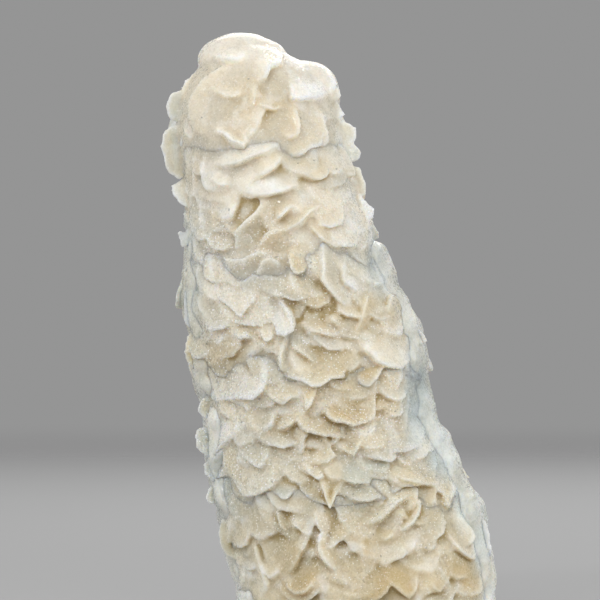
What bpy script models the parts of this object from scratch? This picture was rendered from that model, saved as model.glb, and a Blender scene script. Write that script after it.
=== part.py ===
"""A quartz specimen: a leaning chalcedony column overgrown with leafy quartz blades, on a flat sawn foot.

The blades have grown into each other and into the column, so the whole specimen is one solid.
Heights run up from the foot, +X is the specimen's right, and its leafy front faces -Y.
"""

import math

import bmesh
import bpy
from mathutils import Vector

MM = 0.001

# The bare column: height, left edge, right edge, front and back, in millimetres.
COLUMN_SECTIONS = (
    (0.0, -27.4, 27.8, -20.5, 20.0),
    (9.0, -27.6, 27.0, -20.5, 20.0),
    (22.0, -30.6, 25.6, -20.0, 19.5),
    (35.0, -33.2, 20.4, -19.5, 19.0),
    (48.0, -34.6, 13.8, -19.0, 18.5),
    (61.0, -37.8, 12.0, -18.5, 18.0),
    (75.0, -40.2, 6.6, -18.0, 17.5),
    (88.0, -39.8, 1.2, -17.5, 17.0),
    (101.0, -40.6, -2.6, -17.0, 16.5),
    (114.0, -42.0, -6.0, -15.5, 15.0),
    (121.0, -40.8, -8.4, -13.5, 13.0),
    (126.0, -37.6, -12.4, -11.0, 10.5),
    (130.0, -34.6, -18.8, -8.0, 7.5),
    (132.6, -31.6, -24.4, -4.0, 4.0),
)
COLUMN_SEGMENTS = 16
COLUMN_RINGS = 11

# Blades on the front. Each has its root, how far its rim stands off the column, how thick the rim
# is, and the run of the rim; root and rim are given as (across, height) in millimetres.
CROWN = (
    ((-31.2, 132.0), 2.8, 1.8, ((-36.3, 129.6), (-33.9, 128.7), (-30.1, 128.0), (-26.6, 128.5))),
    (
        (-25.5, 130.2), 3.0, 1.6,
        ((-18.7, 129.4), (-19.1, 127.2), (-21.3, 126.3), (-22.4, 123.6), (-24.4, 122.5)),
    ),
    ((-28.2, 123.2), 2.2, 1.2, ((-24.4, 122.3), (-24.6, 119.7), (-25.1, 117.5), (-26.6, 116.6))),
    (
        (-13.6, 126.7), 3.2, 1.4,
        ((-16.5, 119.2), (-14.1, 119.0), (-10.3, 119.5), (-8.4, 120.8), (-6.4, 122.8), (-8.4, 125.4)),
    ),
    ((-7.7, 122.3), 1.6, 1.1, ((-5.9, 121.7), (-5.5, 120.1), (-6.2, 119.0), (-7.5, 119.0))),
    (
        (-10.1, 118.8), 2.6, 1.2,
        ((-11.7, 115.7), (-9.2, 114.4), (-6.2, 115.1), (-4.6, 115.9), (-5.7, 118.1)),
    ),
    (
        (-6.6, 113.1), 1.8, 1.1,
        ((-5.1, 114.6), (-3.5, 114.2), (-2.0, 112.6), (-2.2, 110.0), (-3.7, 109.3)),
    ),
    (
        (-4.8, 108.5), 2.4, 1.3,
        ((-2.6, 109.3), (-1.1, 107.8), (-1.3, 106.5), (-2.6, 105.4), (-4.2, 105.6)),
    ),
    ((-32.1, 125.0), 1.5, 1.4, ((-34.3, 121.0), (-31.2, 119.2), (-28.2, 119.7), (-26.8, 122.3))),
    (
        (-19.8, 116.2), 2.0, 1.3,
        ((-16.3, 118.8), (-15.4, 115.9), (-14.7, 113.1), (-15.0, 110.9), (-17.6, 110.0)),
    ),
    ((-21.6, 121.0), 1.6, 1.3, ((-23.8, 117.5), (-20.7, 116.4), (-17.2, 117.7))),
)
LEFT_SHOULDER = (
    ((-36.5, 121.9), 1.6, 1.4, ((-38.5, 125.2), (-40.5, 123.9), (-41.4, 121.9), (-40.7, 119.5))),
    (
        (-40.7, 118.8), 2.4, 1.4,
        ((-41.8, 121.4), (-43.8, 120.6), (-44.9, 118.1), (-44.7, 115.7), (-43.6, 114.2), (-42.0, 114.8)),
    ),
    (
        (-40.5, 108.2), 2.8, 1.5,
        ((-43.3, 113.5), (-45.1, 111.8), (-46.0, 108.9), (-45.5, 106.0), (-44.4, 103.2), (-42.0, 101.2)),
    ),
    ((-38.9, 107.8), 2.0, 1.0, ((-40.5, 107.1), (-40.0, 104.5), (-39.2, 103.2))),
    (
        (-40.5, 100.3), 2.4, 1.3,
        ((-43.6, 100.3), (-43.1, 98.1), (-41.4, 96.1), (-39.6, 95.3), (-38.9, 97.0)),
    ),
    ((-38.1, 95.5), 2.4, 1.2, ((-41.1, 93.9), (-40.5, 92.4), (-38.7, 92.8), (-37.0, 93.7))),
    ((-35.2, 120.1), 2.4, 1.1, ((-36.3, 121.9), (-37.8, 119.5), (-37.4, 117.3), (-36.1, 115.7))),
    ((-38.7, 114.0), 2.8, 1.2, ((-40.7, 113.3), (-40.5, 111.5), (-39.4, 110.4), (-38.3, 111.5))),
    ((-36.5, 103.8), 2.4, 1.2, ((-38.7, 106.5), (-38.9, 103.0), (-38.7, 99.4), (-37.8, 96.4))),
    ((-34.8, 93.7), 2.4, 1.2, ((-37.2, 95.5), (-37.0, 92.4), (-36.3, 90.2), (-35.6, 87.8))),
    ((-33.7, 84.5), 2.0, 1.2, ((-35.4, 86.5), (-35.0, 83.2), (-34.3, 80.1), (-33.2, 77.0))),
    ((-30.8, 78.3), 2.2, 1.1, ((-33.4, 76.8), (-32.6, 74.8), (-31.2, 73.7), (-29.9, 74.1))),
    ((-39.2, 88.9), 1.4, 1.4, ((-41.6, 89.8), (-41.8, 88.0), (-41.4, 86.2), (-40.5, 86.5))),
    (
        (-37.8, 77.0), 1.4, 1.6,
        ((-40.5, 81.4), (-41.1, 76.6), (-40.9, 70.4), (-39.4, 68.4), (-37.0, 69.1)),
    ),
    ((-35.6, 80.3), 1.6, 1.3, ((-37.8, 83.2), (-37.8, 79.6), (-37.4, 76.6), (-36.1, 74.8))),
)
UPPER_MIDDLE = (
    ((-28.4, 112.2), 3.4, 1.3, ((-34.5, 112.6), (-32.3, 111.5), (-29.9, 110.0), (-27.3, 109.1))),
    (
        (-27.5, 108.7), 3.8, 2.0,
        ((-35.0, 103.8), (-32.1, 104.1), (-29.0, 104.7), (-26.0, 106.0), (-22.4, 107.4), (-19.6, 108.9)),
    ),
    (
        (-14.5, 112.6), 3.2, 1.4,
        ((-9.9, 111.8), (-10.1, 108.7), (-12.5, 108.0), (-14.1, 106.7), (-16.9, 106.0), (-19.4, 105.6)),
    ),
    (
        (-25.1, 106.0), 2.8, 1.3,
        ((-19.1, 105.8), (-20.2, 103.8), (-21.8, 102.5), (-23.8, 101.9), (-26.6, 101.6)),
    ),
    ((-31.2, 103.0), 3.4, 1.6, ((-34.5, 101.4), (-33.0, 100.1), (-31.0, 99.7), (-28.4, 99.2))),
    (
        (-22.4, 102.1), 4.0, 1.6,
        ((-27.5, 97.7), (-26.4, 98.6), (-24.4, 97.9), (-21.6, 97.9), (-18.7, 98.8), (-15.6, 99.9)),
    ),
    ((-33.9, 96.4), 2.4, 1.2, ((-27.9, 97.7), (-29.0, 95.0), (-30.1, 92.4), (-31.5, 92.0))),
    ((-26.0, 93.3), 1.6, 1.1, ((-31.7, 92.0), (-30.8, 90.2), (-29.0, 88.4), (-27.5, 86.2))),
    ((-18.0, 97.7), 2.8, 1.2, ((-19.8, 92.4), (-17.6, 94.4), (-15.0, 95.7))),
    (
        (-13.6, 95.9), 3.0, 1.4,
        ((-19.6, 91.7), (-17.4, 90.4), (-15.2, 91.7), (-12.5, 94.2), (-10.3, 95.5)),
    ),
    (
        (-7.5, 95.5), 3.8, 1.4,
        ((-1.3, 97.9), (2.0, 95.0), (1.5, 92.8), (-0.9, 90.2), (-3.3, 88.2), (-5.3, 87.1)),
    ),
    ((-3.1, 101.6), 1.4, 1.1, ((-1.5, 104.5), (-0.4, 101.2), (0.0, 98.1), (-1.8, 97.7))),
    (
        (-19.4, 84.9), 2.2, 1.2,
        ((-24.4, 85.4), (-23.3, 88.0), (-22.4, 89.3), (-20.2, 90.2), (-17.8, 90.4)),
    ),
    (
        (-13.2, 87.6), 2.8, 1.3,
        ((-16.7, 87.1), (-17.4, 84.5), (-16.9, 82.1), (-15.8, 80.3), (-14.1, 81.0)),
    ),
    (
        (-7.0, 85.4), 3.4, 1.3,
        ((-10.3, 87.3), (-10.1, 83.2), (-10.1, 79.0), (-8.1, 76.1), (-6.2, 74.1), (-3.7, 73.9)),
    ),
    ((-1.3, 83.2), 2.0, 1.2, ((-5.5, 82.7), (-5.1, 78.8), (-2.6, 76.6), (0.4, 77.0))),
)
MIDDLE = (
    (
        (-27.1, 77.0), 2.4, 1.2,
        ((-32.1, 84.3), (-29.9, 83.8), (-27.7, 83.8), (-25.7, 84.7), (-24.2, 85.4), (-22.0, 84.3)),
    ),
    (
        (-27.5, 81.8), 2.8, 1.3,
        ((-32.3, 74.6), (-30.4, 73.3), (-28.2, 70.8), (-26.8, 72.8), (-24.6, 75.0), (-22.2, 77.2)),
    ),
    (
        (-21.1, 78.3), 2.0, 1.1,
        ((-24.6, 81.0), (-23.5, 82.9), (-21.6, 83.8), (-19.6, 83.2), (-18.0, 81.0)),
    ),
    (
        (-19.1, 75.7), 3.4, 1.4,
        ((-22.2, 75.9), (-21.3, 72.4), (-20.2, 68.6), (-18.5, 66.9), (-16.3, 67.3), (-15.4, 69.3)),
    ),
    ((4.0, 73.0), 2.4, 1.2, ((0.0, 75.5), (-0.9, 72.8), (-1.5, 70.4), (-2.9, 68.0), (-4.0, 65.8))),
    ((-5.3, 71.5), 2.8, 1.4, ((-8.1, 71.3), (-6.8, 69.7), (-5.5, 68.2))),
    (
        (-10.1, 72.2), 2.2, 1.2,
        ((-15.2, 69.5), (-12.8, 68.2), (-10.1, 67.3), (-7.5, 67.1), (-5.7, 67.8)),
    ),
    ((-14.3, 67.8), 2.8, 1.2, ((-16.5, 64.5), (-14.3, 62.9), (-12.5, 61.6), (-10.1, 61.4))),
    (
        (-12.1, 62.5), 3.8, 1.4,
        ((-19.1, 59.8), (-17.8, 58.3), (-15.0, 57.2), (-12.5, 56.1), (-8.1, 57.4), (-4.8, 57.9)),
    ),
    ((-17.4, 66.0), 2.4, 1.2, ((-19.1, 65.1), (-19.4, 62.0), (-19.1, 59.2), (-17.2, 59.2))),
    ((-26.8, 69.3), 2.6, 1.2, ((-29.0, 66.9), (-27.7, 66.2), (-26.0, 66.4), (-24.6, 66.0))),
    ((-22.0, 70.4), 2.8, 1.2, ((-23.5, 66.9), (-22.4, 66.0), (-20.9, 66.7), (-19.8, 68.4))),
    (
        (-28.6, 61.2), 4.0, 1.4,
        ((-35.4, 53.9), (-34.1, 52.6), (-30.8, 52.8), (-27.5, 53.0), (-25.5, 53.0), (-23.3, 55.2), (-21.6, 59.8)),
    ),
    ((-26.8, 55.0), 3.8, 1.2, ((-27.9, 52.8), (-26.8, 50.2), (-25.7, 52.8))),
    (
        (-20.2, 58.1), 3.0, 1.2,
        ((-23.1, 56.5), (-21.6, 53.7), (-19.1, 52.1), (-17.2, 53.5), (-15.2, 53.5)),
    ),
    (
        (-13.0, 57.4), 3.2, 1.2,
        ((-14.3, 55.4), (-14.1, 52.8), (-13.9, 50.6), (-12.3, 53.0), (-11.0, 55.9)),
    ),
    (
        (6.2, 66.7), 3.4, 1.3,
        ((-0.4, 64.2), (2.0, 62.0), (4.8, 60.3), (7.7, 59.8), (9.9, 61.6), (11.7, 63.6)),
    ),
    ((-0.4, 62.7), 3.0, 1.2, ((-4.0, 59.2), (-2.2, 57.0), (-0.2, 55.9), (2.2, 57.9), (3.5, 60.3))),
    ((-35.2, 70.8), 2.6, 1.2, ((-37.2, 67.1), (-36.1, 65.1), (-35.0, 66.2), (-34.3, 68.6))),
    ((-32.6, 70.8), 2.2, 1.1, ((-34.1, 66.4), (-33.0, 64.9), (-31.7, 66.4))),
    ((-37.6, 64.7), 1.8, 1.3, ((-39.6, 67.5), (-40.5, 64.2), (-40.3, 61.4), (-38.7, 59.2))),
    ((9.7, 68.2), 1.6, 1.3, ((10.6, 69.1), (12.3, 67.3), (13.4, 65.8), (11.9, 64.9))),
    ((7.3, 70.0), 1.6, 1.2, ((3.7, 73.5), (4.4, 76.6), (6.4, 75.2), (8.1, 73.3))),
)
LOWER_MIDDLE = (
    (
        (-11.4, 52.4), 3.4, 1.3,
        ((-16.7, 52.1), (-15.6, 49.1), (-14.3, 46.6), (-12.1, 45.8), (-9.2, 45.1), (-6.2, 44.9)),
    ),
    ((-17.6, 51.0), 2.6, 1.2, ((-20.5, 47.1), (-18.3, 47.3), (-16.5, 48.2), (-15.2, 49.3))),
    (
        (-3.1, 53.5), 3.6, 1.4,
        ((-9.5, 50.2), (-7.9, 48.6), (-5.5, 48.2), (-3.3, 47.5), (-0.2, 48.2), (3.1, 49.3)),
    ),
    (
        (3.5, 54.6), 2.2, 1.3,
        ((7.7, 59.4), (8.8, 55.4), (9.2, 51.9), (8.8, 47.1), (7.3, 44.4), (4.8, 43.6)),
    ),
    ((9.0, 49.3), 3.2, 1.3, ((10.8, 49.1), (13.2, 47.7), (12.8, 45.5), (11.7, 43.8), (9.9, 45.3))),
    ((8.6, 44.4), 2.2, 1.2, ((6.2, 41.4), (7.0, 39.6), (9.0, 39.4), (10.6, 40.5), (10.6, 42.7))),
    ((-5.1, 45.3), 2.6, 1.2, ((-6.6, 43.1), (-3.5, 41.1), (-2.4, 42.7), (-1.5, 44.4))),
    ((-22.9, 51.0), 2.4, 1.2, ((-24.6, 48.2), (-23.1, 46.9), (-21.3, 48.2), (-20.2, 50.4))),
    (
        (-32.1, 51.9), 2.8, 1.3,
        ((-35.2, 46.9), (-34.3, 44.7), (-32.8, 44.9), (-31.2, 46.2), (-29.9, 48.0)),
    ),
    ((-35.2, 52.4), 2.2, 1.2, ((-37.0, 52.8), (-37.8, 50.4), (-36.5, 48.6), (-34.5, 48.8))),
    (
        (-35.0, 44.0), 2.0, 1.3,
        ((-37.2, 46.6), (-38.5, 44.7), (-37.8, 42.2), (-36.3, 40.3), (-34.3, 39.6)),
    ),
    (
        (-25.1, 45.3), 2.6, 1.2,
        ((-29.9, 44.9), (-28.4, 42.0), (-26.6, 39.6), (-23.8, 38.1), (-21.8, 41.4)),
    ),
    (
        (-23.3, 41.4), 3.8, 1.5,
        ((-29.7, 35.6), (-28.6, 33.4), (-27.7, 31.7), (-24.6, 32.3), (-21.3, 34.3), (-18.5, 36.7)),
    ),
    (
        (-33.4, 37.8), 1.8, 1.3,
        ((-36.7, 39.2), (-36.3, 37.0), (-34.8, 35.0), (-32.1, 33.4), (-30.1, 34.8)),
    ),
    (
        (-33.2, 33.9), 2.6, 1.3,
        ((-35.4, 33.0), (-35.9, 31.0), (-35.0, 29.5), (-33.2, 29.9), (-32.1, 31.7)),
    ),
    ((-18.7, 36.1), 3.0, 1.2, ((-20.7, 33.0), (-19.4, 31.5), (-18.0, 31.7), (-16.9, 33.2))),
    ((-18.5, 30.8), 2.6, 1.2, ((-20.5, 29.7), (-19.8, 26.8), (-18.5, 24.6), (-17.2, 26.2))),
    (
        (-14.7, 32.1), 2.8, 1.2,
        ((-17.8, 27.9), (-16.3, 26.0), (-14.3, 24.2), (-12.8, 23.5), (-12.1, 26.4)),
    ),
    ((-14.1, 40.5), 2.6, 1.2, ((-15.2, 38.3), (-13.0, 37.2), (-11.0, 35.9), (-9.7, 36.5))),
    (
        (-7.5, 38.3), 3.0, 1.3,
        ((-10.6, 35.2), (-9.5, 32.3), (-8.6, 29.3), (-7.3, 32.1), (-5.9, 35.2)),
    ),
    ((-2.2, 40.0), 3.2, 1.3, ((-5.7, 35.9), (-3.1, 35.0), (0.0, 35.2), (1.5, 37.4))),
    ((-2.4, 36.5), 2.6, 1.2, ((-5.7, 32.6), (-2.6, 31.5), (0.0, 31.5), (2.6, 32.1))),
    ((10.1, 40.0), 4.2, 1.5, ((4.0, 37.4), (7.5, 35.9), (12.3, 34.8), (15.8, 34.3))),
    (
        (15.8, 38.3), 3.6, 1.5,
        ((14.5, 34.8), (16.5, 33.0), (17.2, 30.6), (18.0, 29.5), (18.9, 32.6)),
    ),
    (
        (4.4, 32.6), 3.8, 2.0,
        ((9.7, 34.1), (8.6, 32.3), (6.4, 31.0), (4.2, 29.0), (1.8, 26.8), (-1.1, 26.2)),
    ),
    ((7.0, 29.3), 3.4, 1.8, ((11.4, 31.2), (11.0, 28.8), (9.5, 26.6), (7.5, 24.9), (5.1, 24.4))),
)
LOWER = (
    ((-7.0, 28.6), 3.0, 1.3, ((-10.8, 30.8), (-11.9, 28.4), (-11.4, 26.0), (-9.9, 24.0))),
    (
        (-5.7, 20.9), 3.2, 1.4,
        ((-10.6, 23.8), (-10.8, 20.2), (-9.2, 17.6), (-7.3, 15.8), (-4.4, 14.5)),
    ),
    ((1.3, 22.0), 2.6, 1.3, ((-1.8, 26.2), (-2.0, 22.0), (-1.5, 19.1), (0.0, 16.9))),
    ((3.7, 26.2), 2.8, 1.2, ((2.0, 24.4), (3.5, 22.7), (5.3, 23.8))),
    ((6.2, 19.8), 3.0, 1.4, ((0.4, 15.8), (4.0, 14.3), (6.4, 11.7), (8.8, 10.1), (10.6, 12.1))),
    ((14.1, 20.2), 2.4, 1.3, ((12.3, 14.5), (14.3, 11.9), (15.8, 11.4), (17.6, 14.5))),
    (
        (20.2, 21.6), 3.2, 1.5,
        ((17.4, 15.2), (19.4, 14.1), (21.6, 14.3), (23.8, 12.1), (25.7, 12.8)),
    ),
    (
        (23.3, 23.5), 1.6, 1.5,
        ((24.6, 28.8), (26.4, 25.7), (27.5, 22.0), (27.5, 19.1), (26.0, 16.5)),
    ),
    ((17.2, 27.3), 1.4, 1.4, ((19.1, 30.8), (20.7, 27.5), (21.6, 24.2), (19.8, 22.0))),
    (
        (-21.3, 20.7), 3.4, 1.5,
        ((-13.0, 23.8), (-13.6, 21.3), (-15.4, 18.5), (-17.4, 15.6), (-19.8, 12.8), (-22.2, 11.0)),
    ),
    ((-20.2, 19.4), 4.0, 1.2, ((-23.3, 15.8), (-22.0, 13.6), (-20.0, 15.4), (-18.5, 18.3))),
    (
        (-26.4, 18.5), 2.6, 1.4,
        ((-24.9, 20.5), (-24.0, 16.3), (-22.4, 12.5), (-23.3, 9.5), (-26.0, 8.4)),
    ),
    ((-29.0, 26.8), 2.6, 1.3, ((-31.0, 22.4), (-29.7, 20.7), (-28.2, 21.8))),
    (
        (-29.9, 23.3), 1.8, 1.6,
        ((-32.3, 26.4), (-33.2, 23.5), (-33.0, 20.9), (-31.2, 18.5), (-29.0, 17.2)),
    ),
    (
        (-13.6, 17.2), 3.2, 1.4,
        ((-18.3, 12.3), (-16.3, 10.8), (-14.3, 11.4), (-12.3, 13.6), (-10.3, 16.3)),
    ),
    ((-25.5, 29.0), 2.0, 1.3, ((-27.7, 25.1), (-26.0, 23.3), (-23.8, 23.8), (-22.4, 26.4))),
    ((-15.0, 8.8), 3.0, 1.5, ((-18.5, 4.0), (-15.8, 0.9), (-12.5, 1.8), (-11.0, 6.2))),
    ((-6.6, 7.9), 2.2, 1.5, ((-10.1, 2.6), (-7.5, -1.8), (-4.2, -0.9), (-2.6, 4.0))),
    ((2.6, 8.4), 2.8, 1.5, ((-1.1, 3.5), (1.5, 0.0), (5.3, 0.4), (7.0, 4.4))),
    ((12.8, 7.9), 2.6, 1.5, ((8.8, 2.2), (11.7, -2.2), (15.4, -1.3), (17.4, 3.1))),
    ((22.4, 8.8), 2.6, 1.5, ((18.5, 4.8), (21.1, 1.3), (24.9, 1.8), (27.1, 5.7))),
    ((-24.0, 6.2), 2.2, 1.5, ((-27.9, 1.3), (-25.3, -2.6), (-21.8, -1.8), (-20.0, 2.2))),
)
FRONT_BLADES = (
    CROWN + LEFT_SHOULDER + UPPER_MIDDLE + MIDDLE + LOWER_MIDDLE + LOWER
)
ROOT_SHARE = 0.55
ROOT_SINK = 2.2
EDGE_REACH = 0.97

# Round swellings of smooth chalcedony on both edges: centre and half sizes, in millimetres.
EDGE_LUMPS = (
    ((9.0, 1.0, 64.0), (4.9, 9.0, 6.5)),
    ((9.4, 1.0, 54.6), (5.0, 9.5, 6.0)),
    ((14.0, 0.6, 44.0), (4.2, 9.0, 6.5)),
    ((16.6, 1.0, 37.0), (4.6, 10.0, 6.0)),
    ((20.4, 0.7, 28.8), (4.8, 10.0, 7.0)),
    ((22.8, 1.0, 20.0), (5.0, 11.0, 7.5)),
    ((23.6, 0.7, 9.0), (5.2, 11.0, 8.0)),
    ((1.6, 1.0, 81.6), (4.8, 8.0, 8.0)),
    ((-36.4, 1.0, 75.6), (4.8, 7.5, 8.0)),
    ((-29.0, 0.5, 22.6), (4.8, 9.0, 6.0)),
    ((-24.4, 0.7, 9.4), (4.8, 10.0, 8.0)),
    ((-31.6, 1.0, 38.0), (5.2, 9.0, 6.0)),
)

# The back, worked out by rule: staggered rows of blades among smooth swellings.
BACK_LOWEST = 6.0
BACK_HIGHEST = 122.0
BACK_ROW_STEP = 13.4
BACK_ARC = (22.0, 158.0)
BACK_SITES = 4
BACK_BLADE_SHARE = 0.55
BACK_RIM_POINTS = 4
BACK_LUMP_RADIUS = (8.0, 11.0)
BACK_LUMP_FLATNESS = 0.34

FOOT_CUT_DEPTH = 12.0
FOOT_CUT_SIDE = 120.0

QUARTZ_COLOUR = (0.78, 0.72, 0.6, 1.0)
QUARTZ_ROUGHNESS = 0.55


def chance(number, turn):
    """A repeatable fraction from 0 to 1 for a numbered thing and one of its turns."""
    value = math.sin(number * 12.9898 + turn * 78.233) * 43758.5453
    return value - math.floor(value)


def between(low, high, number, turn):
    return low + (high - low) * chance(number, turn)


def curve_through(before, start, end, after, share):
    """Catmull-Rom: a smooth value from start to end, aware of the values around them."""
    slope_in, slope_out = (end - before) / 2, (after - start) / 2
    square, cube = share * share, share * share * share
    return (
        (2 * cube - 3 * square + 1) * start
        + (cube - 2 * square + share) * slope_in
        + (3 * square - 2 * cube) * end
        + (cube - square) * slope_out
    )


def section_at(height):
    """Left, right, front and back of the bare column at a height."""
    rows = COLUMN_SECTIONS
    height = min(max(height, rows[0][0]), rows[-1][0])
    i = max(k for k in range(len(rows) - 1) if rows[k][0] <= height)
    share = (height - rows[i][0]) / (rows[i + 1][0] - rows[i][0])
    around = [rows[min(max(k, 0), len(rows) - 1)] for k in (i - 1, i, i + 1, i + 2)]
    return [curve_through(*(row[side] for row in around), share) for side in (1, 2, 3, 4)]


def column_point(angle, height):
    """A point of the bare column's surface. Angle 0 is the right edge and -90 degrees the front."""
    left, right, front, back = section_at(height)
    depth = back if math.sin(angle) > 0 else -front
    x = (left + right) / 2 + (right - left) / 2 * math.cos(angle)
    return Vector((x, depth * math.sin(angle), height))


def column_normal(angle, height):
    step = 0.02
    height = min(max(height, 1.0), COLUMN_SECTIONS[-1][0] - 1.0)
    round_it = column_point(angle + step, height) - column_point(angle - step, height)
    up_it = column_point(angle, height + 1.0) - column_point(angle, height - 1.0)
    return round_it.cross(up_it).normalized()


def front_angle(across, height):
    """The angle at which the column's front lies this far across, kept off its very edges."""
    left, right, _, _ = section_at(height)
    reach = (across - (left + right) / 2) / ((right - left) / 2)
    return -math.acos(min(max(reach, -EDGE_REACH), EDGE_REACH))


def off_front(across, height, proud):
    """The point exactly this far across and up that stands proud of the column's front."""
    angle = front_angle(across, height)
    depth = column_point(angle, height).y + proud * column_normal(angle, height).y
    return Vector((across, depth, height))


def in_front(across, height):
    """A root's point inside the column's front, drawn inwards where it would miss the column."""
    angle = front_angle(across, height)
    return column_point(angle, height) - column_normal(angle, height) * ROOT_SINK


def off_back(angle, height, distance):
    return column_point(angle, height) + column_normal(angle, height) * distance


def front_outline(root, proud, rim):
    """A front blade's outline: along its rim, then across its root inside the column."""
    start, end = Vector(rim[0]), Vector(rim[-1])
    half_root = (end - start) * ROOT_SHARE / 2
    outline = []
    for k, (across, height) in enumerate(rim):
        swell = 0.6 + 0.4 * math.sin(math.pi * (k + 0.5) / len(rim))
        outline.append(off_front(across, height, proud * swell))
    for end_of_root in (Vector(root) + half_root, Vector(root) - half_root):
        outline.append(in_front(end_of_root.x, end_of_root.y))
    return outline


def back_sites():
    """Number, angle and height of each place on the back, in staggered rows."""
    sites = []
    rows = int((BACK_HIGHEST - BACK_LOWEST) / BACK_ROW_STEP) + 1
    spread = (BACK_ARC[1] - BACK_ARC[0]) / (BACK_SITES - 0.5)
    for row in range(rows):
        for place in range(BACK_SITES):
            number = row * BACK_SITES + place + 1
            stagger = 0.5 * (row % 2) + between(-0.2, 0.2, number, 1)
            angle = math.radians(BACK_ARC[0] + spread * (place + stagger))
            height = BACK_LOWEST + BACK_ROW_STEP * row + between(-2.2, 2.2, number, 2)
            sites.append((number, angle, height))
    return sites


def back_outline(number, angle, height):
    """A back blade's outline: a rounded drooping rim, then its root inside the column."""
    half_width = between(4.0, 6.6, number, 4)
    length = between(8.0, 13.0, number, 5)
    turn = math.radians(between(-38.0, 38.0, number, 6))
    proud = between(1.8, 3.2, number, 7)
    left, right, _, back = section_at(height)
    radius = ((right - left) / 2 + back) / 2
    places = []
    for k in range(BACK_RIM_POINTS):
        swing = math.pi * (k + 0.5) / BACK_RIM_POINTS
        knock = between(0.85, 1.15, number, 10 + k)
        places.append((-half_width * math.cos(swing) * knock, half_width * (1 - math.sin(swing)), 1))
    places += [(half_width * 0.6, length, 0), (-half_width * 0.6, length, 0)]
    outline = []
    for sideways, upward, outer in places:
        shift = sideways * math.cos(turn) - upward * math.sin(turn)
        rise = sideways * math.sin(turn) + upward * math.cos(turn)
        distance = proud if outer else -ROOT_SINK
        outline.append(off_back(angle + shift / radius, height + rise, distance))
    return outline


def outline_normal(outline):
    """The facing of an outline (Newell's method), turned away from the column."""
    facing = Vector((0.0, 0.0, 0.0))
    for here, there in zip(outline, outline[1:] + outline[:1]):
        facing += here.cross(there)
    facing.normalize()
    centre = sum(outline, Vector((0.0, 0.0, 0.0))) / len(outline)
    left, right, _, _ = section_at(centre.z)
    away = centre - Vector(((left + right) / 2, 0.0, centre.z))
    return facing if facing.dot(away) > 0 else -facing


def add_blade(number, outline, thickness):
    """One blade: a flat lens with a thin rim along the outline and a fuller middle."""
    facing = outline_normal(outline)
    centre = sum(outline, Vector((0.0, 0.0, 0.0))) / len(outline)
    spread = max((point - centre).length for point in outline)
    belly = thickness + between(0.12, 0.22, number, 41) * spread
    sides = len(outline)
    shape = bmesh.new()
    bmesh.ops.create_uvsphere(shape, u_segments=sides, v_segments=3, radius=1.0)
    for vertex in shape.verts:
        outer = math.copysign(1.0, vertex.co.z)
        if abs(vertex.co.z) > 0.9:
            place = centre + facing * outer * belly / 2
        else:
            k = round(math.atan2(vertex.co.y, vertex.co.x) / math.tau * sides) % sides
            place = outline[k] + facing * outer * thickness / 2
        vertex.co = place * MM
    return solid_object(f"blade_{number:03d}", shape)


def add_edge_lump(number, centre, half_sizes):
    shape = bmesh.new()
    bmesh.ops.create_icosphere(shape, subdivisions=2, radius=1.0)
    for vertex in shape.verts:
        place = [c + h * v for c, h, v in zip(centre, half_sizes, vertex.co)]
        vertex.co = Vector(place) * MM
    return solid_object(f"edge_lump_{number:02d}", shape)


def add_back_lump(number, angle, height):
    """A low round swelling of smooth chalcedony on the back."""
    radius = between(*BACK_LUMP_RADIUS, number, 9)
    normal = column_normal(angle, height)
    centre = off_back(angle, height, -0.35 * radius * BACK_LUMP_FLATNESS)
    shape = bmesh.new()
    bmesh.ops.create_icosphere(shape, subdivisions=2, radius=1.0)
    for vertex in shape.verts:
        out = vertex.co.dot(normal)
        level = vertex.co - normal * out
        vertex.co = (centre + (level + normal * out * BACK_LUMP_FLATNESS) * radius) * MM
    return solid_object(f"back_lump_{number:03d}", shape)


def add_column():
    """The bare column, from a cylinder whose rings are laid on its sections."""
    top = COLUMN_SECTIONS[-1][0]
    shape = bmesh.new()
    bmesh.ops.create_cone(
        shape, cap_ends=True, segments=COLUMN_SEGMENTS, radius1=1.0, radius2=1.0, depth=1.0
    )
    uprights = [e for e in shape.edges if abs(e.verts[0].co.z - e.verts[1].co.z) > 0.5]
    bmesh.ops.subdivide_edges(shape, edges=uprights, cuts=COLUMN_RINGS - 1, use_grid_fill=True)
    for vertex in shape.verts:
        share = vertex.co.z + 0.5
        height = top * (1 - (1 - share) ** 1.3)
        angle = math.atan2(vertex.co.y, vertex.co.x)
        vertex.co = column_point(angle, height) * MM
    return solid_object("quartz_column", shape)


def add_foot_cutter():
    """A block below the foot plane, which saws the specimen off level."""
    shape = bmesh.new()
    bmesh.ops.create_cube(shape, size=1.0)
    for vertex in shape.verts:
        vertex.co = Vector((
            vertex.co.x * FOOT_CUT_SIDE,
            vertex.co.y * FOOT_CUT_SIDE,
            (vertex.co.z - 0.5) * FOOT_CUT_DEPTH,
        )) * MM
    return solid_object("foot_cutter", shape)


def solid_object(name, shape):
    bmesh.ops.recalc_face_normals(shape, faces=shape.faces)
    mesh = bpy.data.meshes.new(name)
    shape.to_mesh(mesh)
    shape.free()
    return bpy.data.objects.new(name, mesh)


def new_collection(name, helpers):
    made = bpy.data.collections.new(name)
    bpy.context.scene.collection.children.link(made)
    made.hide_render = helpers
    return made


def add_boolean(target, name, operation, operand):
    joint = target.modifiers.new(name, "BOOLEAN")
    joint.operation = operation
    joint.solver = "EXACT"
    if isinstance(operand, bpy.types.Collection):
        joint.operand_type = "COLLECTION"
        joint.collection = operand
    else:
        joint.object = operand


def quartz_material():
    quartz = bpy.data.materials.new("milky_quartz")
    quartz.use_nodes = True
    shader = quartz.node_tree.nodes["Principled BSDF"]
    shader.inputs["Base Color"].default_value = QUARTZ_COLOUR
    shader.inputs["Roughness"].default_value = QUARTZ_ROUGHNESS
    shader.inputs["Metallic"].default_value = 0.0
    return quartz


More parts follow.
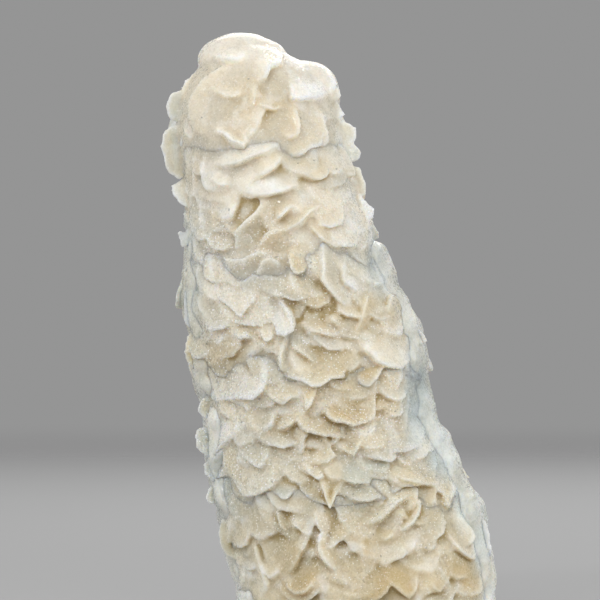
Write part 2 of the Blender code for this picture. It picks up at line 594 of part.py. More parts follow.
def link_helper(helper, collection):
    collection.objects.link(helper)
    helper.hide_render = True
    helper.display_type = "WIRE"


def grow_blades(growths):
    number = 0
    for root, proud, thickness, rim in FRONT_BLADES:
        number += 1
        link_helper(add_blade(number, front_outline(root, proud, rim), thickness), growths)
    for site, angle, height in back_sites():
        if chance(site, 3) < BACK_BLADE_SHARE:
            number += 1
            thickness = between(1.1, 1.6, site, 8)
            outline = back_outline(site, angle, height)
            link_helper(add_blade(number, outline, thickness), growths)


def swell_lumps(growths):
    for number, (centre, half_sizes) in enumerate(EDGE_LUMPS):
        link_helper(add_edge_lump(number, centre, half_sizes), growths)
    for site, angle, height in back_sites():
        if chance(site, 3) >= BACK_BLADE_SHARE:
            link_helper(add_back_lump(site, angle, height), growths)


def main():
    for old in list(bpy.data.objects):
        bpy.data.objects.remove(old)
    specimen = new_collection("quartz_specimen", helpers=False)
    growths = new_collection("growths", helpers=True)
    cutters = new_collection("cutters", helpers=True)

    column = add_column()
    specimen.objects.link(column)
    column.data.materials.append(quartz_material())
    grow_blades(growths)
    swell_lumps(growths)
    foot_cutter = add_foot_cutter()
    link_helper(foot_cutter, cutters)
    add_boolean(column, "grow_together", "UNION", growths)
    add_boolean(column, "saw_foot", "DIFFERENCE", foot_cutter)


main()
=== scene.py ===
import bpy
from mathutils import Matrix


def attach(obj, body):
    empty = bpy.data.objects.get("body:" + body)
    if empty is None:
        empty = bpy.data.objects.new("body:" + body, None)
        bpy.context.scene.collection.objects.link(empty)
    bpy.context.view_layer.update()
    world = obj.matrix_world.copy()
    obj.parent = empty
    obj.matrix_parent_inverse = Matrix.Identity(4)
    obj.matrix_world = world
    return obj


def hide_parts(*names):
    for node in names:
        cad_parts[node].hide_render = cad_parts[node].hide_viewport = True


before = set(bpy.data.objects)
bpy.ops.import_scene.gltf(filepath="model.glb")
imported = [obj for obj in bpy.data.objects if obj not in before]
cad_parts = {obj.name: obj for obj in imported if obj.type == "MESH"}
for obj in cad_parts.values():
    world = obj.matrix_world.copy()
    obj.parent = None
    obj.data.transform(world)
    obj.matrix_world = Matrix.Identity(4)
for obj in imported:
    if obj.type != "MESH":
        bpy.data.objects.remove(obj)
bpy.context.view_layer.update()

"""The looks of a leaning quartz specimen: a chalcedony column overgrown with sugary quartz blades.

Blades, swellings and column repeat the measures of the solids, with far finer outlines, then each
group is fused into one closed mesh, roughened with quartz grains, and tinted point by point.
Lengths are millimetres until a mesh is written. +X is the specimen's right, its front faces -Y.
"""

import itertools
import math

import bpy
import numpy as np
from mathutils import Vector
from mathutils.kdtree import KDTree

MM = 0.001

# The bare column: height, left edge, right edge, front and back.
SECTIONS = np.array((
    (0.0, -27.4, 27.8, -20.5, 20.0),
    (9.0, -27.6, 27.0, -20.5, 20.0),
    (22.0, -30.6, 25.6, -20.0, 19.5),
    (35.0, -33.2, 20.4, -19.5, 19.0),
    (48.0, -34.6, 13.8, -19.0, 18.5),
    (61.0, -37.8, 12.0, -18.5, 18.0),
    (75.0, -40.2, 6.6, -18.0, 17.5),
    (88.0, -39.8, 1.2, -17.5, 17.0),
    (101.0, -40.6, -2.6, -17.0, 16.5),
    (114.0, -42.0, -6.0, -15.5, 15.0),
    (121.0, -40.8, -8.4, -13.5, 13.0),
    (126.0, -37.6, -12.4, -11.0, 10.5),
    (130.0, -34.6, -18.8, -8.0, 7.5),
    (132.6, -31.6, -24.4, -4.0, 4.0),
))
TOP = SECTIONS[-1, 0]

# Blades on the front: tint, root, how far the rim stands off the column, rim thickness, the rim.
FRONT_BLADES = (
    # The crown.
    ("w", (-31.2, 132.0), 2.8, 1.8,
     ((-36.3, 129.6), (-33.9, 128.7), (-30.1, 128.0), (-26.6, 128.5))),
    ("w", (-25.5, 130.2), 3.0, 1.6,
     ((-18.7, 129.4), (-19.1, 127.2), (-21.3, 126.3), (-22.4, 123.6), (-24.4, 122.5))),
    ("c", (-28.2, 123.2), 2.2, 1.2,
     ((-24.4, 122.3), (-24.6, 119.7), (-25.1, 117.5), (-26.6, 116.6))),
    ("W", (-13.6, 126.7), 4.4, 1.4,
     ((-16.5, 119.2), (-14.1, 119.0), (-10.3, 119.5), (-8.4, 120.8), (-6.4, 122.8), (-8.4, 125.4))),
    ("g", (-7.7, 122.3), 1.6, 1.1, ((-5.9, 121.7), (-5.5, 120.1), (-6.2, 119.0), (-7.5, 119.0))),
    ("g", (-10.1, 118.8), 2.6, 1.2,
     ((-11.7, 115.7), (-9.2, 114.4), (-6.2, 115.1), (-4.6, 115.9), (-5.7, 118.1))),
    ("g", (-6.6, 113.1), 1.8, 1.1,
     ((-5.1, 114.6), (-3.5, 114.2), (-2.0, 112.6), (-2.2, 110.0), (-3.7, 109.3))),
    ("b", (-4.8, 108.5), 2.4, 1.3,
     ((-2.6, 109.3), (-1.1, 107.8), (-1.3, 106.5), (-2.6, 105.4), (-4.2, 105.6))),
    ("c", (-32.1, 125.0), 1.5, 1.4,
     ((-34.3, 121.0), (-31.2, 119.2), (-28.2, 119.7), (-26.8, 122.3))),
    ("t", (-19.8, 116.2), 2.0, 1.3,
     ((-16.3, 118.8), (-15.4, 115.9), (-14.7, 113.1), (-15.0, 110.9), (-17.6, 110.0))),
    ("t", (-21.6, 121.0), 1.6, 1.3, ((-23.8, 117.5), (-20.7, 116.4), (-17.2, 117.7))),
    # The left shoulder and the left edge below it.
    ("c", (-36.5, 121.9), 1.6, 1.4,
     ((-38.5, 125.2), (-40.5, 123.9), (-41.4, 121.9), (-40.7, 119.5))),
    ("b", (-40.7, 118.8), 2.4, 1.4,
     ((-41.8, 121.4), (-43.8, 120.6), (-44.9, 118.1), (-44.7, 115.7), (-43.6, 114.2),
      (-42.0, 114.8))),
    ("g", (-40.5, 108.2), 2.8, 1.5,
     ((-43.3, 113.5), (-45.1, 111.8), (-46.0, 108.9), (-45.5, 106.0), (-44.4, 103.2),
      (-42.0, 101.2))),
    ("w", (-38.9, 107.8), 2.0, 1.0, ((-40.5, 107.1), (-40.0, 104.5), (-39.2, 103.2))),
    ("g", (-40.5, 100.3), 2.4, 1.3,
     ((-43.6, 100.3), (-43.1, 98.1), (-41.4, 96.1), (-39.6, 95.3), (-38.9, 97.0))),
    ("b", (-38.1, 95.5), 2.4, 1.2, ((-41.1, 93.9), (-40.5, 92.4), (-38.7, 92.8), (-37.0, 93.7))),
    ("c", (-35.2, 120.1), 2.4, 1.1,
     ((-36.3, 121.9), (-37.8, 119.5), (-37.4, 117.3), (-36.1, 115.7))),
    ("w", (-38.7, 114.0), 2.8, 1.2,
     ((-40.7, 113.3), (-40.5, 111.5), (-39.4, 110.4), (-38.3, 111.5))),
    ("c", (-36.5, 103.8), 2.4, 1.2, ((-38.7, 106.5), (-38.9, 103.0), (-38.7, 99.4), (-37.8, 96.4))),
    ("W", (-34.8, 93.7), 2.4, 1.2, ((-37.2, 95.5), (-37.0, 92.4), (-36.3, 90.2), (-35.6, 87.8))),
    ("W", (-33.7, 84.5), 2.0, 1.2, ((-35.4, 86.5), (-35.0, 83.2), (-34.3, 80.1), (-33.2, 77.0))),
    ("w", (-30.8, 78.3), 2.2, 1.1, ((-33.4, 76.8), (-32.6, 74.8), (-31.2, 73.7), (-29.9, 74.1))),
    ("b", (-39.2, 88.9), 1.4, 1.4, ((-41.6, 89.8), (-41.8, 88.0), (-41.4, 86.2), (-40.5, 86.5))),
    ("b", (-37.8, 77.0), 1.4, 1.6,
     ((-40.5, 81.4), (-41.1, 76.6), (-40.9, 70.4), (-39.4, 68.4), (-37.0, 69.1))),
    ("g", (-35.6, 80.3), 1.6, 1.3, ((-37.8, 83.2), (-37.8, 79.6), (-37.4, 76.6), (-36.1, 74.8))),
    # The upper middle.
    ("t", (-28.4, 112.2), 3.4, 1.3,
     ((-34.5, 112.6), (-32.3, 111.5), (-29.9, 110.0), (-27.3, 109.1))),
    ("w", (-27.5, 108.7), 3.8, 2.0,
     ((-35.0, 103.8), (-32.1, 104.1), (-29.0, 104.7), (-26.0, 106.0), (-22.4, 107.4),
      (-19.6, 108.9))),
    ("c", (-14.5, 112.6), 3.2, 1.4,
     ((-9.9, 111.8), (-10.1, 108.7), (-12.5, 108.0), (-14.1, 106.7), (-16.9, 106.0),
      (-19.4, 105.6))),
    ("c", (-25.1, 106.0), 2.8, 1.3,
     ((-19.1, 105.8), (-20.2, 103.8), (-21.8, 102.5), (-23.8, 101.9), (-26.6, 101.6))),
    ("w", (-31.2, 103.0), 3.4, 1.6, ((-34.5, 101.4), (-33.0, 100.1), (-31.0, 99.7), (-28.4, 99.2))),
    ("W", (-22.4, 102.1), 4.0, 1.6,
     ((-27.5, 97.7), (-26.4, 98.6), (-24.4, 97.9), (-21.6, 97.9), (-18.7, 98.8), (-15.6, 99.9))),
    ("c", (-33.9, 96.4), 2.4, 1.2, ((-27.9, 97.7), (-29.0, 95.0), (-30.1, 92.4), (-31.5, 92.0))),
    ("t", (-26.0, 93.3), 1.6, 1.1, ((-31.7, 92.0), (-30.8, 90.2), (-29.0, 88.4), (-27.5, 86.2))),
    ("t", (-18.0, 97.7), 2.8, 1.2, ((-19.8, 92.4), (-17.6, 94.4), (-15.0, 95.7))),
    ("c", (-13.6, 95.9), 3.0, 1.4,
     ((-19.6, 91.7), (-17.4, 90.4), (-15.2, 91.7), (-12.5, 94.2), (-10.3, 95.5))),
    ("W", (-7.5, 95.5), 3.8, 1.4,
     ((-1.3, 97.9), (2.0, 95.0), (1.5, 92.8), (-0.9, 90.2), (-3.3, 88.2), (-5.3, 87.1))),
    ("g", (-3.1, 101.6), 1.4, 1.1, ((-1.5, 104.5), (-0.4, 101.2), (0.0, 98.1), (-1.8, 97.7))),
    ("t", (-19.4, 84.9), 2.2, 1.2,
     ((-24.4, 85.4), (-23.3, 88.0), (-22.4, 89.3), (-20.2, 90.2), (-17.8, 90.4))),
    ("t", (-13.2, 87.6), 2.8, 1.3,
     ((-16.7, 87.1), (-17.4, 84.5), (-16.9, 82.1), (-15.8, 80.3), (-14.1, 81.0))),
    ("g", (-7.0, 85.4), 3.4, 1.3,
     ((-10.3, 87.3), (-10.1, 83.2), (-10.1, 79.0), (-8.1, 76.1), (-6.2, 74.1), (-3.7, 73.9))),
    ("g", (-1.3, 83.2), 2.0, 1.2, ((-5.5, 82.7), (-5.1, 78.8), (-2.6, 76.6), (0.4, 77.0))),
    # The middle.
    ("g", (-27.1, 77.0), 2.4, 1.2,
     ((-32.1, 84.3), (-29.9, 83.8), (-27.7, 83.8), (-25.7, 84.7), (-24.2, 85.4), (-22.0, 84.3))),
    ("w", (-27.5, 81.8), 2.8, 1.3,
     ((-32.3, 74.6), (-30.4, 73.3), (-28.2, 70.8), (-26.8, 72.8), (-24.6, 75.0), (-22.2, 77.2))),
    ("g", (-21.1, 78.3), 2.0, 1.1,
     ((-24.6, 81.0), (-23.5, 82.9), (-21.6, 83.8), (-19.6, 83.2), (-18.0, 81.0))),
    ("W", (-21.8, 77.0), 3.4, 1.4,
     ((-22.2, 74.6), (-21.2, 70.6), (-20.3, 67.2), (-18.4, 66.9), (-16.4, 68.4), (-17.7, 71.7),
      (-19.9, 74.4))),
    ("t", (4.0, 73.0), 2.4, 1.2,
     ((0.0, 75.5), (-0.9, 72.8), (-1.5, 70.4), (-2.9, 68.0), (-4.0, 65.8))),
    ("c", (-5.3, 71.5), 2.8, 1.4, ((-8.1, 71.3), (-6.8, 69.7), (-5.5, 68.2))),
    ("t", (-10.1, 72.2), 2.2, 1.2,
     ((-15.2, 69.5), (-12.8, 68.2), (-10.1, 67.3), (-7.5, 67.1), (-5.7, 67.8))),
    ("g", (-14.3, 67.8), 2.8, 1.2, ((-16.5, 64.5), (-14.3, 62.9), (-12.5, 61.6), (-10.1, 61.4))),
    ("c", (-12.1, 62.5), 3.8, 1.4,
     ((-19.1, 59.8), (-17.8, 58.3), (-15.0, 57.2), (-12.5, 56.1), (-8.1, 57.4), (-4.8, 57.9))),
    ("g", (-17.4, 66.0), 2.4, 1.2, ((-19.1, 65.1), (-19.4, 62.0), (-19.1, 59.2), (-17.2, 59.2))),
    ("c", (-26.8, 69.3), 2.6, 1.2, ((-29.0, 66.9), (-27.7, 66.2), (-26.0, 66.4), (-24.6, 66.0))),
    ("c", (-22.0, 70.4), 2.8, 1.2, ((-23.5, 66.9), (-22.4, 66.0), (-20.9, 66.7), (-19.8, 68.4))),
    ("W", (-28.6, 61.2), 4.0, 1.4,
     ((-35.4, 53.9), (-34.1, 52.6), (-30.8, 52.8), (-27.5, 53.0), (-25.5, 53.0), (-23.3, 55.2),
      (-21.6, 59.8))),
    ("c", (-26.8, 55.0), 3.8, 1.2, ((-27.9, 52.8), (-26.8, 50.2), (-25.7, 52.8))),
    ("c", (-20.2, 58.1), 3.0, 1.2,
     ((-23.1, 56.5), (-21.6, 53.7), (-19.1, 52.1), (-17.2, 53.5), (-15.2, 53.5))),
    ("o", (-13.0, 57.4), 3.2, 1.2,
     ((-14.3, 55.4), (-14.1, 52.8), (-13.9, 50.6), (-12.3, 53.0), (-11.0, 55.9))),
    ("w", (6.2, 66.7), 3.4, 1.3,
     ((-0.4, 64.2), (2.0, 62.0), (4.8, 60.3), (7.7, 59.8), (9.9, 61.6), (11.7, 63.6))),
    ("o", (-0.4, 62.7), 3.0, 1.2,
     ((-4.0, 59.2), (-2.2, 57.0), (-0.2, 55.9), (2.2, 57.9), (3.5, 60.3))),
    ("g", (-35.2, 70.8), 2.6, 1.2, ((-37.2, 67.1), (-36.1, 65.1), (-35.0, 66.2), (-34.3, 68.6))),
    ("t", (-32.6, 70.8), 2.2, 1.1, ((-34.1, 66.4), (-33.0, 64.9), (-31.7, 66.4))),
    ("t", (-37.6, 64.7), 1.8, 1.3, ((-39.6, 67.5), (-40.5, 64.2), (-40.3, 61.4), (-38.7, 59.2))),
    ("w", (9.7, 68.2), 1.6, 1.3, ((10.6, 69.1), (12.3, 67.3), (13.4, 65.8), (11.9, 64.9))),
    ("g", (7.3, 70.0), 1.6, 1.2, ((3.7, 73.5), (4.4, 76.6), (6.4, 75.2), (8.1, 73.3))),
    # The lower middle.
    ("c", (-11.4, 52.4), 3.4, 1.3,
     ((-16.7, 52.1), (-15.6, 49.1), (-14.3, 46.6), (-12.1, 45.8), (-9.2, 45.1), (-6.2, 44.9))),
    ("w", (-17.6, 51.0), 2.6, 1.2, ((-20.5, 47.1), (-18.3, 47.3), (-16.5, 48.2), (-15.2, 49.3))),
    ("o", (-3.1, 53.5), 3.6, 1.4,
     ((-9.5, 50.2), (-7.9, 48.6), (-5.5, 48.2), (-3.3, 47.5), (-0.2, 48.2), (3.1, 49.3))),
    ("t", (3.5, 54.6), 2.2, 1.3,
     ((7.7, 59.4), (8.8, 55.4), (9.2, 51.9), (8.8, 47.1), (7.3, 44.4), (4.8, 43.6))),
    ("W", (9.0, 49.3), 3.2, 1.3,
     ((10.8, 49.1), (13.2, 47.7), (12.8, 45.5), (11.7, 43.8), (9.9, 45.3))),
    ("t", (8.6, 44.4), 2.2, 1.2,
     ((6.2, 41.4), (7.0, 39.6), (9.0, 39.4), (10.6, 40.5), (10.6, 42.7))),
    ("c", (-5.1, 45.3), 2.6, 1.2, ((-6.6, 43.1), (-3.5, 41.1), (-2.4, 42.7), (-1.5, 44.4))),
    ("g", (-22.9, 51.0), 2.4, 1.2, ((-24.6, 48.2), (-23.1, 46.9), (-21.3, 48.2), (-20.2, 50.4))),
    ("W", (-32.1, 51.9), 2.8, 1.3,
     ((-35.2, 46.9), (-34.3, 44.7), (-32.8, 44.9), (-31.2, 46.2), (-29.9, 48.0))),
    ("g", (-35.2, 52.4), 2.2, 1.2, ((-37.0, 52.8), (-37.8, 50.4), (-36.5, 48.6), (-34.5, 48.8))),
    ("b", (-35.0, 44.0), 2.0, 1.3,
     ((-37.2, 46.6), (-38.5, 44.7), (-37.8, 42.2), (-36.3, 40.3), (-34.3, 39.6))),
    ("g", (-25.1, 45.3), 2.6, 1.2,
     ((-29.9, 44.9), (-28.4, 42.0), (-26.6, 39.6), (-23.8, 38.1), (-21.8, 41.4))),
    ("w", (-23.3, 41.4), 3.8, 1.5,
     ((-29.7, 35.6), (-28.6, 33.4), (-27.7, 31.7), (-24.6, 32.3), (-21.3, 34.3), (-18.5, 36.7))),
    ("b", (-33.4, 37.8), 1.8, 1.3,
     ((-36.7, 39.2), (-36.3, 37.0), (-34.8, 35.0), (-32.1, 33.4), (-30.1, 34.8))),
    ("b", (-33.2, 33.9), 2.6, 1.3,
     ((-35.4, 33.0), (-35.9, 31.0), (-35.0, 29.5), (-33.2, 29.9), (-32.1, 31.7))),
    ("b", (-18.7, 36.1), 3.0, 1.2, ((-20.7, 33.0), (-19.4, 31.5), (-18.0, 31.7), (-16.9, 33.2))),
    ("g", (-18.5, 30.8), 2.6, 1.2, ((-20.5, 29.7), (-19.8, 26.8), (-18.5, 24.6), (-17.2, 26.2))),
    ("w", (-14.7, 32.1), 2.8, 1.2,
     ((-17.8, 27.9), (-16.3, 26.0), (-14.3, 24.2), (-12.8, 23.5), (-12.1, 26.4))),
    ("w", (-14.1, 40.5), 2.6, 1.2, ((-15.2, 38.3), (-13.0, 37.2), (-11.0, 35.9), (-9.7, 36.5))),
    ("c", (-7.5, 38.3), 3.0, 1.3,
     ((-10.6, 35.2), (-9.5, 32.3), (-8.6, 29.3), (-7.3, 32.1), (-5.9, 35.2))),
    ("b", (-2.2, 40.0), 3.2, 1.3, ((-5.7, 35.9), (-3.1, 35.0), (0.0, 35.2), (1.5, 37.4))),
    ("g", (-2.4, 36.5), 2.6, 1.2, ((-5.7, 32.6), (-2.6, 31.5), (0.0, 31.5), (2.6, 32.1))),
    ("w", (10.1, 40.0), 4.2, 1.5, ((4.0, 37.4), (7.5, 35.9), (12.3, 34.8), (15.8, 34.3))),
    ("t", (15.8, 38.3), 3.6, 1.5,
     ((14.5, 34.8), (16.5, 33.0), (17.2, 30.6), (18.0, 29.5), (18.9, 32.6))),
    ("w", (4.4, 32.6), 3.8, 2.0,
     ((9.7, 34.1), (8.6, 32.3), (6.4, 31.0), (4.2, 29.0), (1.8, 26.8), (-1.1, 26.2))),
    ("c", (7.0, 29.3), 3.4, 1.8,
     ((11.4, 31.2), (11.0, 28.8), (9.5, 26.6), (7.5, 24.9), (5.1, 24.4))),
    # The foot.
    ("o", (-7.0, 28.6), 3.0, 1.3, ((-10.8, 30.8), (-11.9, 28.4), (-11.4, 26.0), (-9.9, 24.0))),
    ("c", (-5.7, 20.9), 3.2, 1.4,
     ((-10.6, 23.8), (-10.8, 20.2), (-9.2, 17.6), (-7.3, 15.8), (-4.4, 14.5))),
    ("o", (1.3, 22.0), 2.6, 1.3, ((-1.8, 26.2), (-2.0, 22.0), (-1.5, 19.1), (0.0, 16.9))),
    ("t", (3.7, 26.2), 2.8, 1.2, ((2.0, 24.4), (3.5, 22.7), (5.3, 23.8))),
    ("o", (6.2, 19.8), 3.0, 1.4,
     ((0.4, 15.8), (4.0, 14.3), (6.4, 11.7), (8.8, 10.1), (10.6, 12.1))),
    ("t", (14.1, 20.2), 2.4, 1.3, ((12.3, 14.5), (14.3, 11.9), (15.8, 11.4), (17.6, 14.5))),
    ("o", (20.2, 21.6), 3.2, 1.5,
     ((17.4, 15.2), (19.4, 14.1), (21.6, 14.3), (23.8, 12.1), (25.7, 12.8))),
    ("W", (23.3, 23.5), 1.6, 1.5,
     ((24.6, 28.8), (26.4, 25.7), (27.5, 22.0), (27.5, 19.1), (26.0, 16.5))),
    ("g", (17.2, 27.3), 1.4, 1.4, ((19.1, 30.8), (20.7, 27.5), (21.6, 24.2), (19.8, 22.0))),
    ("t", (-21.3, 20.7), 3.4, 1.5,
     ((-13.0, 23.8), (-13.6, 21.3), (-15.4, 18.5), (-17.4, 15.6), (-19.8, 12.8), (-22.2, 11.0))),
    ("c", (-20.2, 19.4), 4.0, 1.2, ((-23.3, 15.8), (-22.0, 13.6), (-20.0, 15.4), (-18.5, 18.3))),
    ("w", (-26.4, 18.5), 2.6, 1.4,
     ((-24.9, 20.5), (-24.0, 16.3), (-22.4, 12.5), (-23.3, 9.5), (-26.0, 8.4))),
    ("g", (-29.0, 26.8), 2.6, 1.3, ((-31.0, 22.4), (-29.7, 20.7), (-28.2, 21.8))),
    ("g", (-29.9, 23.3), 1.8, 1.6,
     ((-32.3, 26.4), (-33.2, 23.5), (-33.0, 20.9), (-31.2, 18.5), (-29.0, 17.2))),
    ("o", (-13.6, 17.2), 3.2, 1.4,
     ((-18.3, 12.3), (-16.3, 10.8), (-14.3, 11.4), (-12.3, 13.6), (-10.3, 16.3))),
    ("t", (-25.5, 29.0), 2.0, 1.3, ((-27.7, 25.1), (-26.0, 23.3), (-23.8, 23.8), (-22.4, 26.4))),
    ("c", (-15.0, 8.8), 3.0, 1.5, ((-18.5, 4.0), (-15.8, 0.9), (-12.5, 1.8), (-11.0, 6.2))),
    ("t", (-6.6, 7.9), 2.2, 1.5, ((-10.1, 2.6), (-7.5, -1.8), (-4.2, -0.9), (-2.6, 4.0))),
    ("t", (2.6, 8.4), 2.8, 1.5, ((-1.1, 3.5), (1.5, 0.0), (5.3, 0.4), (7.0, 4.4))),
    ("o", (12.8, 7.9), 2.6, 1.5, ((8.8, 2.2), (11.7, -2.2), (15.4, -1.3), (17.4, 3.1))),
    ("w", (22.4, 8.8), 2.6, 1.5, ((18.5, 4.8), (21.1, 1.3), (24.9, 1.8), (27.1, 5.7))),
    ("c", (-24.0, 6.2), 2.2, 1.5, ((-27.9, 1.3), (-25.3, -2.6), (-21.8, -1.8), (-20.0, 2.2))),
)
RIM_MIDDLES = np.array([np.mean(rim, axis=0) for *_, rim in FRONT_BLADES])
BLADE_WAYS = RIM_MIDDLES - np.array([root for _, root, *_ in FRONT_BLADES])
BLADE_WAYS /= np.linalg.norm(BLADE_WAYS, axis=1)[:, None]

# The back, by rule: staggered rows of blades among smooth swellings, where the solids have them.
BACK_LOWEST = 6.0
BACK_HIGHEST = 122.0
BACK_ROW_STEP = 13.4
BACK_ARC = (22.0, 158.0)
BACK_SITES = 4
BACK_BLADE_SHARE = 0.55
BACK_RIM_POINTS = 4
BACK_HALF_WIDTH = (4.0, 6.6)
BACK_LENGTH = (8.0, 13.0)
BACK_TURN = 38.0
BACK_PROUD = (1.8, 3.2)
BACK_THICKNESS = 1.6
BACK_TINTS = "gbcgb"
FIRST_BACK = 300
BACK_LUMP_RADIUS = (8.0, 11.0)
BACK_LUMP_FLATNESS = 0.34
BACK_LUMP_SINK = 0.35
BACK_LUMP_SEED = 80

# The outer line of the smooth chalcedony along each edge: heights, and how far across it comes.
RIGHT_LINE = (
    (0.0, 8.8, 18.7, 22.0, 28.6, 35.2, 41.8, 48.4, 55.0, 58.3, 64.9, 68.2, 74.8, 81.4, 88.0),
    (28.6, 28.6, 27.3, 27.5, 25.1, 21.6, 18.7, 14.9, 14.1, 12.8, 13.4, 11.6, 7.9, 5.5, 2.0),
)
LEFT_LINE = (
    (0.0, 12.1, 18.7, 25.3, 31.9, 38.5, 45.1, 51.7, 61.6, 68.2, 74.8, 81.4, 91.3),
    (-28.6, -28.4, -31.0, -32.4, -34.6, -35.8, -36.4, -36.4, -39.4, -39.4, -40.6, -40.4, -40.6),
)
RIDGE_STEP = 3.7
RIDGE_WIDE = (4.2, 5.2)
RIDGE_DEEP = (7.5, 10.5)
RIDGE_TALL = (4.6, 6.6)
RIDGE_SWELL = 0.55
RIDGE_SEED = 40
# The two rounded heads of the crown: centre and half sizes.
CROWN_HEADS = (((-27.6, 0.5, 127.3), (10.0, 8.2, 6.7)), ((-15.0, 0.5, 119.8), (9.2, 8.0, 8.4)))

# The meshes that the blades are fused into: name, heights and the arc of the column behind them.
FRONT_ARC, BACK_SIDE_ARC = (-192.0, 12.0), (-12.0, 192.0)
BANDS = (
    ("blades_crown", 106.0, TOP, FRONT_ARC),
    ("blades_upper", 82.0, 106.0, FRONT_ARC),
    ("blades_middle", 57.0, 82.0, FRONT_ARC),
    ("blades_lower_middle", 30.0, 57.0, FRONT_ARC),
    ("blades_lower", 0.0, 30.0, FRONT_ARC),
    ("blades_back_upper", 66.0, TOP, BACK_SIDE_ARC),
    ("blades_back_lower", 0.0, 66.0, BACK_SIDE_ARC),
)
BAND_LAP = 5.4

# Patches of the front, in millimetres across and up, with their radii: ochre lies in its hollows,
# and clean smooth chalcedony shows along its edges.
OCHRE_PATCHES = (
    (-24.0, 118.0, 9.0, 8.0), (-14.0, 104.0, 9.0, 6.0), (-24.0, 94.0, 8.0, 6.0),
    (-11.0, 74.0, 9.0, 9.0), (-8.0, 63.0, 8.0, 7.0), (-3.0, 55.0, 9.0, 8.0), (2.0, 70.0, 7.0, 7.0),
    (-14.0, 46.0, 12.0, 6.0), (-30.0, 60.0, 8.0, 7.0), (-18.0, 22.0, 12.0, 9.0),
    (-12.0, 34.0, 9.0, 6.0), (8.0, 33.0, 10.0, 8.0), (12.0, 26.0, 10.0, 8.0),
    (-2.0, 22.0, 12.0, 9.0), (4.0, 12.0, 14.0, 10.0), (20.0, 14.0, 10.0, 9.0),
    (-10.0, 12.0, 9.0, 8.0),
)
SKIN_PATCHES = (
    (11.0, 53.0, 4.5, 15.0), (17.0, 41.0, 5.0, 8.0), (21.5, 32.0, 4.0, 9.0),
    (26.0, 22.0, 4.0, 12.0), (3.0, 82.0, 4.0, 8.0), (-40.0, 76.0, 4.0, 11.0),
    (-41.0, 88.0, 3.5, 6.0), (-35.5, 38.0, 3.5, 6.0), (-44.0, 108.0, 2.5, 8.0),
    (28.0, 8.0, 4.0, 10.0),
)

# Screen colours: white, pale, cream, grey, blue, tan and ochre blades, then the rest.
TINTS = {
    "W": (252, 253, 251), "w": (246, 241, 228), "c": (234, 225, 204), "g": (213, 209, 194),
    "b": (203, 208, 202), "t": (228, 215, 188), "o": (220, 201, 164),
}
SKIN_TINT = (204, 211, 208)
SKIN_PALE = (243, 246, 243)
COLUMN_TINT = (217, 210, 191)
# The white of the real frost, also used for the painted rim glow and the painted edge highlights.
FROST_AND_GLOW_TINT = (250, 249, 244)
OCHRE = (190, 168, 114)
DEEP_OCHRE_AND_SHADE = (134, 112, 66)
# Painted shade: the stone darker and warmer towards its foot, as the light falls off down it.
# Height, then red, green and blue.
HEIGHT_FALLOFF_SHADE = (
    (0.0, 0.87, 0.85, 0.77), (25.0, 0.90, 0.885, 0.82), (42.0, 0.96, 0.945, 0.90),
    (90.0, 0.965, 0.95, 0.92), (122.0, 0.97, 0.955, 0.94),
)
# The chalcedony lighter or darker down each edge, by height: height, then red, green and blue.
RIGHT_EDGE_TONES = (
    (0.0, 1.18, 1.17, 1.16), (26.0, 1.16, 1.15, 1.14), (36.0, 0.98, 1.0, 1.0),
    (46.0, 0.89, 0.93, 0.95), (58.0, 0.82, 0.84, 0.83), (80.0, 0.90, 0.90, 0.88),
    (100.0, 1.0, 1.0, 1.0),
)
LEFT_EDGE_TONES = (
    (0.0, 1.0, 1.0, 1.0), (52.0, 1.02, 1.02, 1.02), (62.0, 0.88, 0.85, 0.76),
    (72.0, 0.83, 0.81, 0.72), (84.0, 0.84, 0.84, 0.79), (96.0, 0.96, 0.96, 0.95),
    (108.0, 1.0, 1.0, 1.0),
)
# Painted shade in the recesses: how much of red, green and blue is kept there.
PAINTED_RECESS_SHADE = (0.95, 0.935, 0.90)
SUGAR_HEIGHTS = (0.0, 20.0, 38.0, 82.0, 98.0, 118.0)
SUGAR_LEVELS = (0.4, 0.5, 1.0, 1.0, 0.55, 0.3)
ZONE_SPREAD = 5.0
OWN_TINT = 0.6
FROST = 0.32

# A blade's sheet: its rim's steps and teeth, its rows from root to rim, and its undercut back.
RIM_STEP = 0.34
RIM_BEND = 0.16
RIM_LOBE = 1.7
RIM_LOBE_HEIGHT = 0.28
RIM_SLIMNESS = 0.42
SHEET_STEPS = np.array([0.0, 0.14, 0.28, 0.4, 0.51, 0.61, 0.7, 0.78, 0.85, 0.91, 0.96, 1.0])
SHEET_SINK = 0.7
SHEET_REACH = 0.45
SHEET_ROOT_SHARE = 0.8
ROOT_GAP = 0.4
ROOT_REACH = 0.92
SHEET_UNDERCUT = 0.22
EDGE_REACH = 0.97
GROWTH_STEP = 0.16
WARP = 0.25
BLADE_RISE_HEIGHTS = (60.0, 108.0)
BLADE_RISE = (0.72, 0.64)
LEAST_FORWARD = 0.6
# The shell of stone behind the blades.
BACKING_STRIPS = 170
BACKING_ROW = 0.7
BACKING_LIFT = 0.08
BACKING_TAPER = 1.2
BACKING_TAPER_WIDTH = 3.0
BACKING_DEPTH = 0.55
MEAN_RADIUS = 20.0
# The slimmer column inside it, and the flats cut from every swelling.
CORE_INSET = 1.3
CORE_RINGS, CORE_SEGMENTS = 260, 200
FLATS = 14
FLAT_REACH = (0.72, 0.94)
